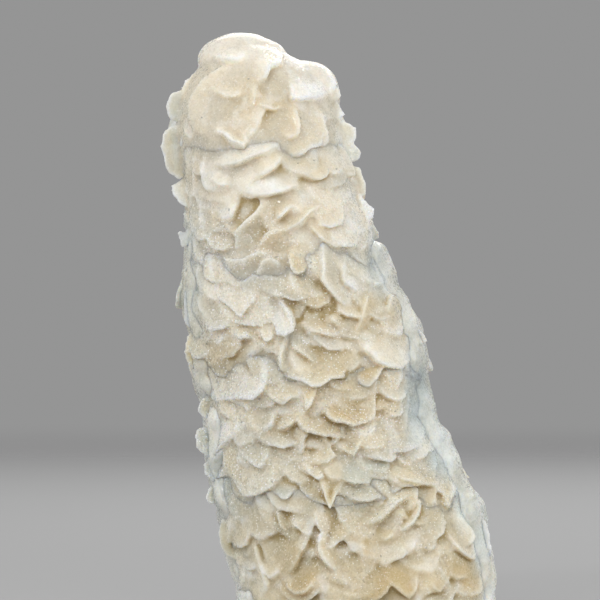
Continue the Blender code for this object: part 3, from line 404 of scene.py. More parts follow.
# The small plates between the blades, and the low layer under them.
PLATE_PITCH = 1.9
PLATE_SIZES = (3.2, 6.0)
PLATE_PROUD = (0.5, 1.3)
PLATE_CLEAR = 0.9
PLATE_CLOSENESS = 0.62
PLATE_RIM_POINTS = 6
PLATE_TOP_GAP = 5.0
PLATE_THICKNESS = 1.1
PLATE_ENDS = 0.9
BACK_PITCH_SHARE = 1.55
FRONT_PLATE_TINTS = "ccgtgw"
BACK_PLATE_TINTS = "gbcgbc"
FIRST_PLATE = 500
PLATE_SEED = 17
UNDERLAY_PITCH = 2.6
UNDERLAY_SIZES = (3.2, 6.4)
UNDERLAY_PROUD = (0.3, 1.25)
UNDERLAY_CLOSENESS = 0.42
UNDERLAY_TOP = 103.0
UNDERLAY_TINTS = "cgctwg"
FIRST_UNDERLAY = 1500
UNDERLAY_SEED = 5
DOWNWARD = np.array([0.0, -1.0])
BARE_SKIN = 0.4
# Fusing, and filling the creases.
FRONT_VOXEL = 0.3
BACK_VOXEL = 0.45
CORE_VOXEL = 0.55
FUSED_SMOOTHING = 2
CORE_SMOOTHING = 60
HIDDEN_DEPTH = 1.4
CORE_HIDDEN_DEPTH = -0.05
HIDDEN_KEPT = 0.06
LARGEST_STRAY = 0.4
FILL_ROUNDS = 24
FILL_HEIGHTS = (0.0, 30.0, 45.0, 75.0, 95.0, 125.0)
FILL_EXTRA = (0.35, 0.2, -0.1, -0.1, 0.25, 0.4)
FILL_PULL = 0.7
FILL_SLIDE = 0.2
RIM_WEAR = 0.04
MELT = 0.4
RELIEF_ROUNDS = 45
LAYER_ROUNDS = 5
# The box of cells in which crowding is measured, and how many of them are averaged in a row.
FIELD_LOW = np.array([-50.0, -28.0, -6.0])
FIELD_HIGH = np.array([34.0, 28.0, 138.0])
FIELD_PITCH = 0.8
FIELD_BLUR = 5
CROWDING_REACH = 1.4
# The roughened surface: broad folds, the chalcedony's flats, the flat foot and dark specks.
FOLDS = (1.0, 0.3)
SKIN_FACETING = 0.17
FOOT_KEPT_FLAT = 0.35
SPECK_DIMMING = 0.5
# The materials, in metres: how far light spreads inside, and the grains too fine for the mesh.
BLADE_GLOW = 0.0038
CHALCEDONY_GLOW = 0.0014
GRAINS_PER_METRE = 3000.0
CRUMBS_PER_METRE = 1300.0
BUMP_DEPTH = 0.00006
FACET_TILT = 1.1

# The stage and the camera, which frames this width on a plane a little in front of the axis.
FLOOR_SIDES = 96
FLOOR_RADIUS = 1.7
FLOOR_DROP = 0.0002
FLOOR_GREY = 0.40
STUDIO_GREY = 0.30
LIT_POINT = (-0.015, 0.0, 0.07)
# Lamps: name, place, size and power.
LIGHTS = (
    ("key", (-0.25, -0.55, 0.9), 0.7, 2.75),
    ("spark", (-0.35, -0.8, 0.6), 0.10, 1.4),
    ("fill_front", (0.1, -1.4, 0.25), 1.2, 4.4),
    ("fill_right", (0.8, -0.35, 0.35), 0.7, 3.3),
    ("fill_left", (-0.8, -0.25, 0.35), 0.7, 1.7),
    ("back", (0.1, 0.8, 0.7), 0.8, 4.5),
)
FRAME_CENTRE_X = -14.96
FRAME_CENTRE_Z = 74.8
FRAME_WIDTH = 132.0
FRAMED_DEPTH = 8.0
CAMERA_AWAY = 900.0
SENSOR = 36.0


def linear(colour):
    """An 8-bit screen colour as linear light."""
    share = np.asarray(colour, float) / 255
    return np.where(share <= 0.04045, share / 12.92, ((share + 0.055) / 1.055) ** 2.4)


def chance(number, turn):
    """A repeatable fraction from 0 to 1 for a numbered thing and one of its turns."""
    value = math.sin(number * 12.9898 + turn * 78.233) * 43758.5453
    return value - math.floor(value)


def between(low, high, number, turn):
    """A repeatable value from low to high. Each turn is a separate chance of the same thing."""
    return low + (high - low) * chance(number, turn)


def soft_step(values, low, high):
    share = np.clip((values - low) / (high - low), 0, 1)
    return share * share * (3 - 2 * share)


def mixed(under, over, share):
    """Rows of one colour laid over another, each row by its own share."""
    return under * (1 - share[:, None]) + over * share[:, None]


def hermite(s, start, end, slope_in, slope_out):
    return (
        (2 * s**3 - 3 * s**2 + 1) * start
        + (s**3 - 2 * s**2 + s) * slope_in
        + (3 * s**2 - 2 * s**3) * end
        + (s**3 - s**2) * slope_out
    )


# ---- noise over arrays of points ------------------------------------------------------------
# Each noise takes the size of its features in millimetres, and a seed of its own.

def lattice_hash(cells, seed):
    """A fraction from 0 to 1 for each whole-number cell."""
    x, y, z = (cells[..., k].astype(np.int64) for k in range(3))
    mixture = (x * 73856093) ^ (y * 19349663) ^ (z * 83492791) ^ (seed * 2654435761)
    mixture = (mixture ^ (mixture >> 13)) * 1274126177
    mixture = (mixture ^ (mixture >> 16)) & 0xFFFFFF
    return mixture / float(0xFFFFFF)


def hashed_triples(cells, seed):
    return np.stack([lattice_hash(cells, seed + k) for k in range(3)], axis=1)


def corner_weights(scaled, eased):
    """Each of the eight grid corners round the points, with its weight."""
    low = np.floor(scaled)
    share = scaled - low
    if eased:
        share = share * share * (3 - 2 * share)
    for corner in range(8):
        step = np.array([corner & 1, corner >> 1 & 1, corner >> 2 & 1])
        yield low + step, np.prod(np.where(step, share, 1 - share), axis=1)


def smooth_noise(points, size, seed):
    """Soft noise from -1 to 1 with features of about this size."""
    total = np.zeros(len(points))
    for cell, weight in corner_weights(points / size, eased=True):
        total += weight * lattice_hash(cell, seed)
    return total * 2 - 1


def nearest_seeds(points, size, seed):
    """The nearest scattered seed to each point: how far, in cells, its cell and the way from it."""
    scaled = points / size
    low = np.floor(scaled)
    nearest = np.full(len(points), 9.0)
    cells, ways = np.zeros_like(scaled), np.zeros_like(scaled)
    for step in itertools.product((-1, 0, 1), repeat=3):
        cell = low + np.array(step)
        way = scaled - (cell + hashed_triples(cell, seed))
        away = np.sqrt((way**2).sum(axis=1))
        closer = away < nearest
        nearest[closer], cells[closer], ways[closer] = away[closer], cell[closer], way[closer]
    return nearest, cells, ways


def grain_noise(points, size, seed):
    """Distance to the nearest scattered seed, in cells, and that seed's own fraction."""
    nearest, cells, _ = nearest_seeds(points, size, seed)
    return nearest, lattice_hash(cells, seed + 7)


def facet_noise(points, size, seed):
    """A broken surface of small tilted flats, as a height in cells."""
    _, cells, ways = nearest_seeds(points, size, seed)
    return (ways * (hashed_triples(cells, seed + 10) - 0.5)).sum(axis=1)


# ---- the column -----------------------------------------------------------------------------

def girths(heights):
    """The middle, half width, front and back of the bare column at each height (Catmull-Rom)."""
    heights = np.clip(heights, 0.0, TOP)
    last = len(SECTIONS) - 1
    i = np.clip(np.searchsorted(SECTIONS[:, 0], heights, side="right") - 1, 0, last - 1)
    low, high = SECTIONS[i, 0], SECTIONS[i + 1, 0]
    s = ((heights - low) / (high - low))[:, None]
    before, start, end, after = (SECTIONS[np.clip(i + k, 0, last), 1:] for k in (-1, 0, 1, 2))
    left, right, front, back = hermite(s, start, end, (end - before) / 2, (after - start) / 2).T
    return (left + right) / 2, (right - left) / 2, front, back


def column_points(angles, heights):
    """Points of the bare column. Angle 0 is the right edge and -90 degrees the front."""
    middle, half, front, back = girths(heights)
    depth = np.where(np.sin(angles) > 0, back, -front)
    return np.stack([middle + half * np.cos(angles), depth * np.sin(angles), heights], axis=1)


def column_normals(angles, heights):
    step = 0.02
    heights = np.clip(heights, 1.0, TOP - 1.0)
    round_it = column_points(angles + step, heights) - column_points(angles - step, heights)
    up_it = column_points(angles, heights + 1.0) - column_points(angles, heights - 1.0)
    facing = np.cross(round_it, up_it)
    return facing / np.linalg.norm(facing, axis=1)[:, None]


def standing_off(points):
    """How far each point stands off the bare column, roughly, and its angle round it."""
    middle, half, front, back = girths(points[:, 2])
    depth = np.where(points[:, 1] > 0, back, -front)
    across, deep = (points[:, 0] - middle) / half, points[:, 1] / depth
    angles = np.arctan2(deep, across)
    scale = np.sqrt((half * np.cos(angles)) ** 2 + (depth * np.sin(angles)) ** 2)
    return (np.hypot(across, deep) - 1) * scale, angles


def bare_point(angle, height):
    return column_points(np.array([angle]), np.array([height]))[0]


def bare_normal(angle, height):
    return column_normals(np.array([angle]), np.array([height]))[0]


def girth_radius(height):
    _, half, front, back = (values[0] for values in girths(np.array([height])))
    return (half + (back - front) / 2) / 2


def on_front(flat, lift):
    """Points over the front: across and up stay exact, and only the depth follows the lift."""
    middle, half, _, _ = girths(flat[:, 1])
    reach = (flat[:, 0] - middle) / half
    angles = -np.arccos(np.clip(reach, -EDGE_REACH, EDGE_REACH))
    depth = column_points(angles, flat[:, 1])[:, 1]
    depth += lift * np.minimum(column_normals(angles, flat[:, 1])[:, 1], -LEAST_FORWARD)
    return np.stack([flat[:, 0], depth, flat[:, 1]], axis=1)


def on_side(radius):
    """A placer for points given as distance round the column and height."""
    def place(flat, lift):
        seat = flat[:, 0] / radius, flat[:, 1]
        return column_points(*seat) + column_normals(*seat) * lift[:, None]
    return place


# ---- blades as thin sheets ------------------------------------------------------------------

def curve_along(points, step):
    """A smooth open run through the points, one point every step."""
    padded = np.vstack([2 * points[0] - points[1], points, 2 * points[-1] - points[-2]])
    run = []
    for i in range(1, len(padded) - 2):
        before, start, end, after = padded[i - 1:i + 3]
        count = max(2, int(np.linalg.norm(end - start) / step))
        s = (np.arange(count) / count)[:, None]
        run.append(hermite(s, start, end, (end - before) * RIM_BEND, (after - start) * RIM_BEND))
    run.append(points[-1:])
    return np.vstack(run)


def scalloped(run, number, root):
    """The rim broken into small uneven teeth."""
    lengths = np.concatenate([[0.0], np.cumsum(np.linalg.norm(np.diff(run, axis=0), axis=1))])
    spots = np.outer(lengths, [1.0, 0.0, 0.0]) + number * 5.3
    lobe = spots[:, 0] / (RIM_LOBE * between(0.6, 1.2, number, 50)) % 1.0
    teeth = np.interp(lobe, (0.0, between(0.55, 0.9, number, 49), 1.0), (0.0, 1.0, 0.0))
    wave = smooth_noise(spots, 2.6, 35) + 0.5 * smooth_noise(spots, 1.0, 36)
    push = (wave + 0.7 * (teeth - 0.5)) * RIM_LOBE_HEIGHT * between(0.4, 1.3, number, 51)
    ways = run - root
    ways /= np.maximum(np.linalg.norm(ways, axis=1), 0.5)[:, None]
    return run + ways * push[:, None]


def in_space(flat):
    """Flat places as rows of three, for the noises."""
    return flat.reshape(-1, 2) @ np.eye(2, 3)


def warped(flat, number):
    """Outlines pushed about a little, so that no edge runs straight."""
    spots = in_space(flat)
    push = [smooth_noise(spots + number, 2.8, 12), smooth_noise(spots - number, 2.8, 13)]
    return flat + WARP * np.stack(push, axis=1).reshape(flat.shape)


def inside_column(foot, place):
    """Roots kept below the top, and on the front also within the column's outline."""
    foot[:, 1] = np.minimum(foot[:, 1], TOP - ROOT_GAP)
    if place is on_front:
        middle, half, _, _ = girths(foot[:, 1])
        reach = ROOT_REACH * half
        foot[:, 0] = np.clip(foot[:, 0], middle - reach, middle + reach)
    return foot


def sheet_lift(number, flat, length, proud, ends):
    """How far a sheet stands off the column: its swell, roof and tilt, with low growth steps."""
    s, t = np.linspace(0, 1, len(flat))[:, None], SHEET_STEPS[None, :]
    crest = between(0.25, 0.75, number, 52)
    roof = (1 - np.abs(s - crest) / max(crest, 1 - crest)) * between(-0.2, 2.0, number, 53)
    swell = 1 - ends + ends * np.sin(math.pi * s)
    tilt = (s - 0.5) * between(-3.4, 3.4, number, 54)
    climb = t ** between(1.2, 2.1, number, 55)
    rise = proud * swell + SHEET_SINK + (roof + tilt) * min(1.0, proud / 2.0)
    lift = -SHEET_SINK + rise * climb
    wander = smooth_noise(in_space(flat) + number, 2.2, 9).reshape(lift.shape)
    steps = (1 - t) * length / between(1.3, 2.6, number, 56) + 0.5 * wander
    return lift + GROWTH_STEP * between(0.0, 1.6, number, 57) * (steps - np.floor(steps) - 0.5)


def facing_out(grid):
    """The way that a sheet faces on the whole, off the column."""
    along = grid[:, -1].mean(axis=0) - grid[:, 0].mean(axis=0)
    facing = np.cross(grid[-1].mean(axis=0) - grid[0].mean(axis=0), along)
    facing /= np.linalg.norm(facing)
    middle = grid.reshape(-1, 3).mean(axis=0)
    axis = np.array([girths(middle[2:3])[0][0], 0.0, middle[2]])
    return -facing if facing @ (middle - axis) < 0 else facing


def meeting_line(turns, height):
    """How far the line along which two bands meet wanders up and down, round the column."""
    return 1.3 * np.sin(3 * turns + height) + 0.9 * np.sin(7 * turns + 2 * height)


class BladeGroup:
    """Blades gathered for one mesh. Each point has a tint, a grain and a place from root to rim."""

    def __init__(self):
        self.points, self.faces, self.tints, self.rims = [], [], [], []
        self.count = 0

    def keep(self, points, rims, colour, grain):
        self.points.append(points)
        self.rims.append(rims)
        self.tints.append(np.repeat([[*linear(colour), grain]], len(points), axis=0))

    def add(self, number, root, rim, proud, thickness, tint, place, ends=0.72):
        """One blade; returns the points of its front that cover the column."""
        root, rim = np.asarray(root, float), np.asarray(rim, float)
        run = scalloped(curve_along(rim, RIM_STEP), number, root)
        s, t = np.linspace(0, 1, len(run))[:, None], SHEET_STEPS[None, :]
        half = (rim[-1] - rim[0]) * SHEET_ROOT_SHARE / 2
        foot = root + (root - rim.mean(axis=0)) * SHEET_REACH + half * (2 * s - 1)
        foot = inside_column(foot, place)
        flat = warped(foot[:, None] + (run - foot)[:, None] * t[:, :, None], number)
        length = np.linalg.norm(run - foot, axis=1)[:, None]
        lift = sheet_lift(number, flat, length, proud, ends)
        front = place(flat.reshape(-1, 2), lift.ravel())
        wobble = 0.14 * smooth_noise(front + number * 7.0, 2.6, 3)
        grid = front.reshape(*lift.shape, 3)
        facing = facing_out(grid)
        under = np.clip((1 - t) / SHEET_UNDERCUT, 0, 1)
        slim = thickness * RIM_SLIMNESS
        deep = slim + np.maximum(lift + SHEET_SINK + 0.5 - slim, 0) * under
        front = front + facing * wobble[:, None]
        back = front - facing * deep.reshape(-1, 1)
        near_rim = np.maximum(t + 0 * s, (t > 0.45) * np.abs(2 * s - 1) ** 6 * 0.96)
        rims = np.concatenate([near_rim.ravel()] * 2) * between(0.78, 1.08, number, 58)
        self.keep(np.vstack([front, back]), rims, TINTS[tint], between(0.25, 1.25, number, 59))
        self.join_faces(*lift.shape)
        return grid[:, 4:].reshape(-1, 3)

    def add_backing(self, angles, low, high):
        """The stone behind the blades: a thick shell of the column from one height to another."""
        turns = np.radians(np.linspace(*angles, BACKING_STRIPS))[:, None]
        heights = np.linspace(low, high, max(6, int((high - low) / BACKING_ROW)))[None, :]
        ends = np.minimum(turns - turns[0], turns[-1] - turns) * MEAN_RADIUS + 0 * heights
        if low > 0:
            ends = np.minimum(ends, heights - low + meeting_line(turns, low + BAND_LAP))
        if high < TOP:
            ends = np.minimum(ends, high - meeting_line(turns, high - BAND_LAP) - heights)
        lift = BACKING_LIFT - BACKING_TAPER * (1 - soft_step(ends, 0.0, BACKING_TAPER_WIDTH))
        turns, heights = (np.broadcast_to(v, ends.shape).ravel() for v in (turns, heights))
        front, normals = column_points(turns, heights), column_normals(turns, heights)
        lumps = 0.35 * smooth_noise(front, 4.6, 65) + 0.2 * smooth_noise(front, 1.9, 66)
        front = front + normals * (lift.ravel() + lumps)[:, None]
        front[:, 2] = heights
        middle = girths(heights)[0]
        axis = np.stack([middle, 0 * middle, heights], axis=1)
        points = np.vstack([front, axis + (front - axis) * BACKING_DEPTH])
        self.keep(points, np.full(len(points), 0.4), COLUMN_TINT, 0.8)
        self.join_faces(*ends.shape)

    def add_head(self, centre, half_sizes):
        """One of the crown's rounded heads."""
        points, faces = ellipsoid(np.array(centre), np.diag(half_sizes))
        points = points + 0.5 * smooth_noise(points, 5.0, 19)[:, None] * (points - centre) / 8.0
        self.keep(points, np.zeros(len(points)), TINTS["w"], 0.4)
        self.faces += [tuple(v + self.count for v in face) for face in faces]
        self.count += len(points)

    def join_faces(self, long, short):
        """Faces over the front and back grids kept last, and round their edges."""
        at = self.count + np.arange(2 * long * short).reshape(2, long, short)
        for side, turned_over in ((0, False), (1, True)):
            a, b = at[side, :-1, :-1].ravel(), at[side, 1:, :-1].ravel()
            c, d = at[side, 1:, 1:].ravel(), at[side, :-1, 1:].ravel()
            quads = (d, c, b, a) if turned_over else (a, b, c, d)
            self.faces += list(zip(*(q.tolist() for q in quads)))
        for ring in (at[:, ::-1, 0], at[:, :, -1], at[:, 0, :], at[:, -1, ::-1]):
            a, b = ring[0, :-1], ring[0, 1:]
            c, d = ring[1, 1:], ring[1, :-1]
            self.faces += list(zip(b.tolist(), a.tolist(), d.tolist(), c.tolist()))
        self.count += at.size

    def arrays(self):
        return np.vstack(self.points), self.faces, np.vstack(self.tints), np.concatenate(self.rims)


# ---- reading, writing and fusing meshes -----------------------------------------------------

def rows_of(items, kind):
    """Rows of three values read from a mesh's vertices or normals."""
    values = np.empty(len(items) * 3, np.float32)
    items.foreach_get(kind, values)
    return values.reshape(-1, 3).astype(float)


def points_of(mesh):
    """A mesh's points, in millimetres."""
    return rows_of(mesh.vertices, "co") / MM


def write_points(mesh, points):
    mesh.vertices.foreach_set("co", (points * MM).astype(np.float32).ravel())
    mesh.update()


def write_layers(mesh, tone, sugar):
    """Each point's colour and how sugary it is, for the materials."""
    rgba = np.ones((len(tone), 4), np.float32)
    rgba[:, :3] = np.clip(tone, 0, 1)
    mesh.attributes.new("tone", "FLOAT_COLOR", "POINT").data.foreach_set("color", rgba.ravel())
    grainy = mesh.attributes.new("sugar", "FLOAT", "POINT")
    grainy.data.foreach_set("value", np.asarray(sugar, np.float32))


def placed(name, data):
    """A new object in the scene."""
    body = bpy.data.objects.new(name, data)
    bpy.context.scene.collection.objects.link(body)
    return body


def applied(body, name):
    """The mesh that a body's modifiers make. The body and its first mesh are cleared away."""
    depsgraph = bpy.context.evaluated_depsgraph_get()
    mesh = bpy.data.meshes.new_from_object(body.evaluated_get(depsgraph))
    old = body.data
    bpy.data.objects.remove(body)
    bpy.data.meshes.remove(old)
    mesh.name = name
    return mesh


def tree_of(points):
    tree = KDTree(len(points))
    for k, point in enumerate(points.tolist()):
        tree.insert(point, k)
    tree.balance()
    return tree


def nearest_of(points, source):
    """For each point, the index of the nearest source point."""
    find = tree_of(source).find
    return np.fromiter((find(point)[1] for point in points.tolist()), int, len(points))


def fused(name, points, faces, voxel, smoothing):
    """One closed mesh round everything in the group."""
    rough = bpy.data.meshes.new(name + "_rough")
    rough.from_pydata((points * MM).tolist(), [], faces)
    rough.update()
    body = placed(name + "_rough", rough)
    remesh = body.modifiers.new("fuse", "REMESH")
    remesh.mode = "VOXEL"
    remesh.voxel_size = voxel * MM
    remesh.use_smooth_shade = True
    soften = body.modifiers.new("soften", "SMOOTH")
    soften.factor = 0.5
    soften.iterations = smoothing
    return applied(body, name)


def hidden_thinned(mesh, depth):
    """The same mesh with far fewer faces where it lies this deep inside the column."""
    full = points_of(mesh)
    hidden = np.flatnonzero(standing_off(full)[0] < -depth)
    body = placed(mesh.name + "_full", mesh)
    body.vertex_groups.new(name="hidden").add(hidden.tolist(), 1.0, "REPLACE")
    thin = body.modifiers.new("thin", "DECIMATE")
    thin.vertex_group = "hidden"
    thin.ratio = 1 - (1 - HIDDEN_KEPT) * len(hidden) / len(mesh.vertices)
    thinned = applied(body, mesh.name)
    points = points_of(thinned)
    seats = full[nearest_of(points, full)]
    strayed = np.linalg.norm(points - seats, axis=1) > LARGEST_STRAY
    points[strayed] = seats[strayed]
    write_points(thinned, points)
    return thinned


def quads_of(mesh):
    corners = np.empty(len(mesh.loops), np.int32)
    mesh.loops.foreach_get("vertex_index", corners)
    return corners.reshape(-1, 4)


def gathered(index, values, count):
    """Sums of the rows of values by index."""
    return np.stack([np.bincount(index, values[:, k], count) for k in range(3)], axis=1)


def hollows_filled(points, quads):
    """Creases between grown-together blades filled in, with every outward edge left sharp.

    Some stretches of the druse are grown over far more than others.
    """
    count = len(points)
    overgrown = 0.5 + 0.9 * smooth_noise(points, 9.0, 81)
    overgrown = overgrown + np.interp(points[:, 2], FILL_HEIGHTS, FILL_EXTRA)
    melted = MELT * soft_step(overgrown, 0.45, 1.3)
    overgrown = np.clip(overgrown, 0.25, 1.0)[:, None]
    corners, nexts = quads.ravel(), np.roll(quads, -1, axis=1).ravel()
    ends, others = np.concatenate([corners, nexts]), np.concatenate([nexts, corners])
    share = np.bincount(ends, minlength=count)[:, None]
    for _ in range(FILL_ROUNDS):
        a, b, c, d = (points[quads[:, k]] for k in range(4))
        normals = gathered(corners, np.repeat(np.cross(c - a, d - b), 4, axis=0), count)
        normals /= np.maximum(np.linalg.norm(normals, axis=1), 1e-9)[:, None]
        pull = gathered(ends, points[others], count) / share - points
        rise = (pull * normals).sum(axis=1)
        move = np.where(rise > 0, FILL_PULL * rise, (RIM_WEAR + melted) * rise)
        slide = FILL_SLIDE * (pull - normals * rise[:, None])
        points = points + (normals * move[:, None] + slide) * overgrown
    return points


def evened(mesh, values, rounds):
    """Rows of three values, one for each vertex, each round drawn towards its neighbours' mean."""
    ends = np.empty(len(mesh.edges) * 2, np.int32)
    mesh.edges.foreach_get("vertices", ends)
    one, other = ends[::2], ends[1::2]
    count = len(values)
    share = np.maximum(np.bincount(ends, minlength=count), 1)[:, None]
    for _ in range(rounds):
        around = gathered(one, values[other], count) + gathered(other, values[one], count)
        values = 0.3 * values + 0.7 * around / share
    return values


# ---- roughening and tinting -----------------------------------------------------------------

def crevice_field(groups):
    """How crowded the space is, cell by cell, from 0 in the open to 1 deep inside."""
    shape = np.ceil((FIELD_HIGH - FIELD_LOW) / FIELD_PITCH).astype(int)
    axes = [FIELD_LOW[k] + (np.arange(shape[k]) + 0.5) * FIELD_PITCH for k in range(3)]
    grid = np.stack(np.meshgrid(*axes, indexing="ij"), axis=-1).reshape(-1, 3)
    inside = (standing_off(grid)[0] < 0) & (grid[:, 2] > 0) & (grid[:, 2] < TOP)
    filled = inside.astype(float).reshape(shape)
    for points in groups:
        cells = np.floor((points - FIELD_LOW) / FIELD_PITCH).astype(int)
        cells = cells[((cells >= 0) & (cells < shape)).all(axis=1)]
        filled[tuple(cells.T)] = 1.0
    before, after = FIELD_BLUR // 2 + 1, FIELD_BLUR // 2
    for axis in (0, 1, 2) * 3:
        margins = [(before, after) if k == axis else (0, 0) for k in range(3)]
        total = np.cumsum(np.pad(filled, margins), axis)
        upper = np.take(total, range(FIELD_BLUR, total.shape[axis]), axis)
        lower = np.take(total, range(total.shape[axis] - FIELD_BLUR), axis)
        filled = (upper - lower) / FIELD_BLUR
    return filled


def crowding(field, points):
    """How crowded the space is round each point."""
    last = np.array(field.shape) - 1
    total = np.zeros(len(points))
    for cell, weight in corner_weights((points - FIELD_LOW) / FIELD_PITCH - 0.5, eased=False):
        total += weight * field[tuple(np.clip(cell.astype(int), 0, last).T)]
    return total


def near_any(points, spots):
    """From 0 to 1: how far inside any of the soft round patches (across, height, radii) it is."""
    best = np.zeros(len(points))
    for x, z, wide, tall in spots:
        away = np.hypot((points[:, 0] - x) / wide, (points[:, 2] - z) / tall)
        best = np.maximum(best, 1 - soft_step(away, 0.45, 1.15))
    return best


def zone_tones(points):
    """The soft average of the front blades' tints round each point."""
    total, weight = np.zeros((len(points), 3)), np.zeros(len(points))
    for (tint, *_), (x, z) in zip(FRONT_BLADES, RIM_MIDDLES):
        near = np.exp(-((points[:, 0] - x) ** 2 + (points[:, 2] - z) ** 2) / (2 * ZONE_SPREAD**2))
        total += near[:, None] * linear(TINTS[tint])
        weight += near
    return total / np.maximum(weight, 1e-9)[:, None]


def sugar_at(points):
    """How sugary the druse is: fine and smooth at the crown, coarse round the middle."""
    level = np.interp(points[:, 2], SUGAR_HEIGHTS, SUGAR_LEVELS)
    return np.clip(level + 0.25 * smooth_noise(points, 9.0, 71), 0.1, 1.0)


def at_heights(table, points):
    """The red, green and blue shares that a table gives at each point's height."""
    table = np.array(table)
    return np.stack([np.interp(points[:, 2], table[:, 0], table[:, k]) for k in (1, 2, 3)], axis=1)


def roughened(points, normals, angles, skin, grains):
    """The points pushed out and in: grains, lumps, the chalcedony's flats and broad folds."""
    bent = points * (1.0, 1.0, 0.6) + 0.5 * smooth_noise(points, 2.0, 62)[:, None]
    flats = 5.0 * facet_noise(bent, 5.0, 61) + 0.9 * facet_noise(bent, 2.2, 63)
    lumpy = smooth_noise(points, 3.2, 5) * 0.5 + smooth_noise(points, 1.5, 6) * 0.5
    push = grains + (lumpy * (0.06 + 0.1 * skin) + skin * SKIN_FACETING * flats)
    shifted = points + normals * push[:, None]
    folds = FOLDS[0] * smooth_noise(points, 11.0, 91) + FOLDS[1] * smooth_noise(points, 5.5, 92)
    shifted[:, 1] -= folds * soft_step(-np.sin(angles), 0.15, 0.8)
    shifted[:, 2] = np.where(points[:, 2] < FOOT_KEPT_FLAT, points[:, 2], shifted[:, 2])
    shifted[:, 2] = np.maximum(shifted[:, 2], 0.0)
    return shifted


def chalcedony_tone(points, angles):
    """Mottled blue-grey, made lighter or darker down each edge by height, on the front and sides.
    """
    mottle = smooth_noise(points, 5.5, 45) + 0.4 * smooth_noise(points, 1.6, 46)
    glass = mixed(linear(SKIN_TINT), linear(SKIN_PALE), soft_step(mottle, -0.7, 0.7))
    to_right = 0.5 + 0.5 * np.cos(angles)
    edge_tone = mixed(at_heights(LEFT_EDGE_TONES, points), at_heights(RIGHT_EDGE_TONES, points), to_right)
    return glass * (1 + (edge_tone - 1) * (1 - soft_step(np.sin(angles), 0.3, 0.9))[:, None])


def finish(mesh, tints, rims, drusy, field, least_skin=0.0):
    """Roughen a fused mesh with quartz grains, and write its tone and sugar layers."""
    points, normals = points_of(mesh), rows_of(mesh.vertex_normals, "vector")
    off, angles = standing_off(points)
    behind = soft_step(np.sin(angles), -0.3, 0.5)
    skin = np.maximum(near_any(points, SKIN_PATCHES) * soft_step(-off, -3.2, -1.0), behind * 0.75)
    skin = np.maximum(skin, least_skin * soft_step(off, -0.4, 0.5))
    sugar = np.clip(drusy * sugar_at(points) * (1 - 0.75 * skin), 0, 1)
    coarse, owner = grain_noise(points, 1.05, 11)
    fine, fine_owner = grain_noise(points, 0.62, 23)
    grains = sugar * ((0.55 - coarse) * 0.06 * (0.4 + owner) + (0.5 - fine) * 0.08 * fine_owner)
    write_points(mesh, roughened(points, normals, angles, skin, grains))

    relief = ((evened(mesh, points, RELIEF_ROUNDS) - points) * normals).sum(axis=1)
    crowd = crowding(field, points + normals * CROWDING_REACH)
    stain = near_any(points, OCHRE_PATCHES) * (1 - behind)
    patchy = 0.5 + 0.5 * smooth_noise(points, 4.5, 31)
    hollow = np.maximum(soft_step(crowd, 0.42, 0.74), 0.9 * soft_step(relief, 0.05, 0.34))
    ochre = np.clip((hollow * (0.04 + 1.25 * stain) + 0.3 * stain) * (0.35 + 0.9 * patchy), 0, 1)
    ochre = ochre * (1 - 0.8 * skin)
    tone = mixed(zone_tones(points), tints, OWN_TINT + (1 - OWN_TINT) * behind)
    broad = 0.06 * smooth_noise(points, 15.0, 44) + 0.05 * smooth_noise(points, 6.0, 41)
    tone = tone * (1 + broad + 0.04 * smooth_noise(points, 1.3, 42))[:, None]
    blue = np.clip(skin * (0.8 + 0.3 * smooth_noise(points, 5.0, 43)), 0, 1)
    tone = mixed(tone, chalcedony_tone(points, angles), blue)
    tone = mixed(tone, linear(OCHRE), 0.9 * ochre)
    # Deep crevices: painted shade in dark ochre everywhere, deepened into real dark ochre stain
    # inside the stain patches.
    deep = soft_step(crowd, 0.62, 0.9) * (0.35 + 0.5 * stain) * (1 - skin)
    tone = mixed(tone, linear(DEEP_OCHRE_AND_SHADE), 0.55 * deep)
    # Painted shade: the blades darkened in their recesses, not on the chalcedony.
    painted_recess = soft_step(relief, 0.05, 0.38) * (1 - skin)
    tone = tone * (1 - painted_recess[:, None] * (1 - np.array(PAINTED_RECESS_SHADE)))
    # Painted light and shade: each blade darker towards its root and lighter towards its rim.
    tone = tone * (0.94 + 0.07 * soft_step(rims, 0.3, 1.0))[:, None]
    # Painted shade, darker and warmer down towards the foot, but not on the chalcedony.
    falloff_shade = at_heights(HEIGHT_FALLOFF_SHADE, points)
    tone = tone * (falloff_shade + (1 - falloff_shade) * blue[:, None])
    frost = smooth_noise(points, 5.2, 47) + 0.6 * smooth_noise(points, 1.8, 48) - 0.3 * ochre
    # Painted highlight on outward edges and painted glow along thin blade rims, laid on in the same
    # white as the real frost patches.
    edge = 0.16 * soft_step(-relief, 0.06, 0.28) + 0.3 * soft_step(rims, 0.74, 1.0)
    edge = (edge + FROST * soft_step(frost, 0.2, 0.85)) * (1 - 0.5 * skin)
    tone = mixed(tone, linear(FROST_AND_GLOW_TINT), edge)
    tone[(fine_owner > 0.994) & (fine < 0.34) & (sugar > 0.3)] *= SPECK_DIMMING
    write_layers(mesh, tone, sugar)


# ---- the smooth swellings -------------------------------------------------------------------

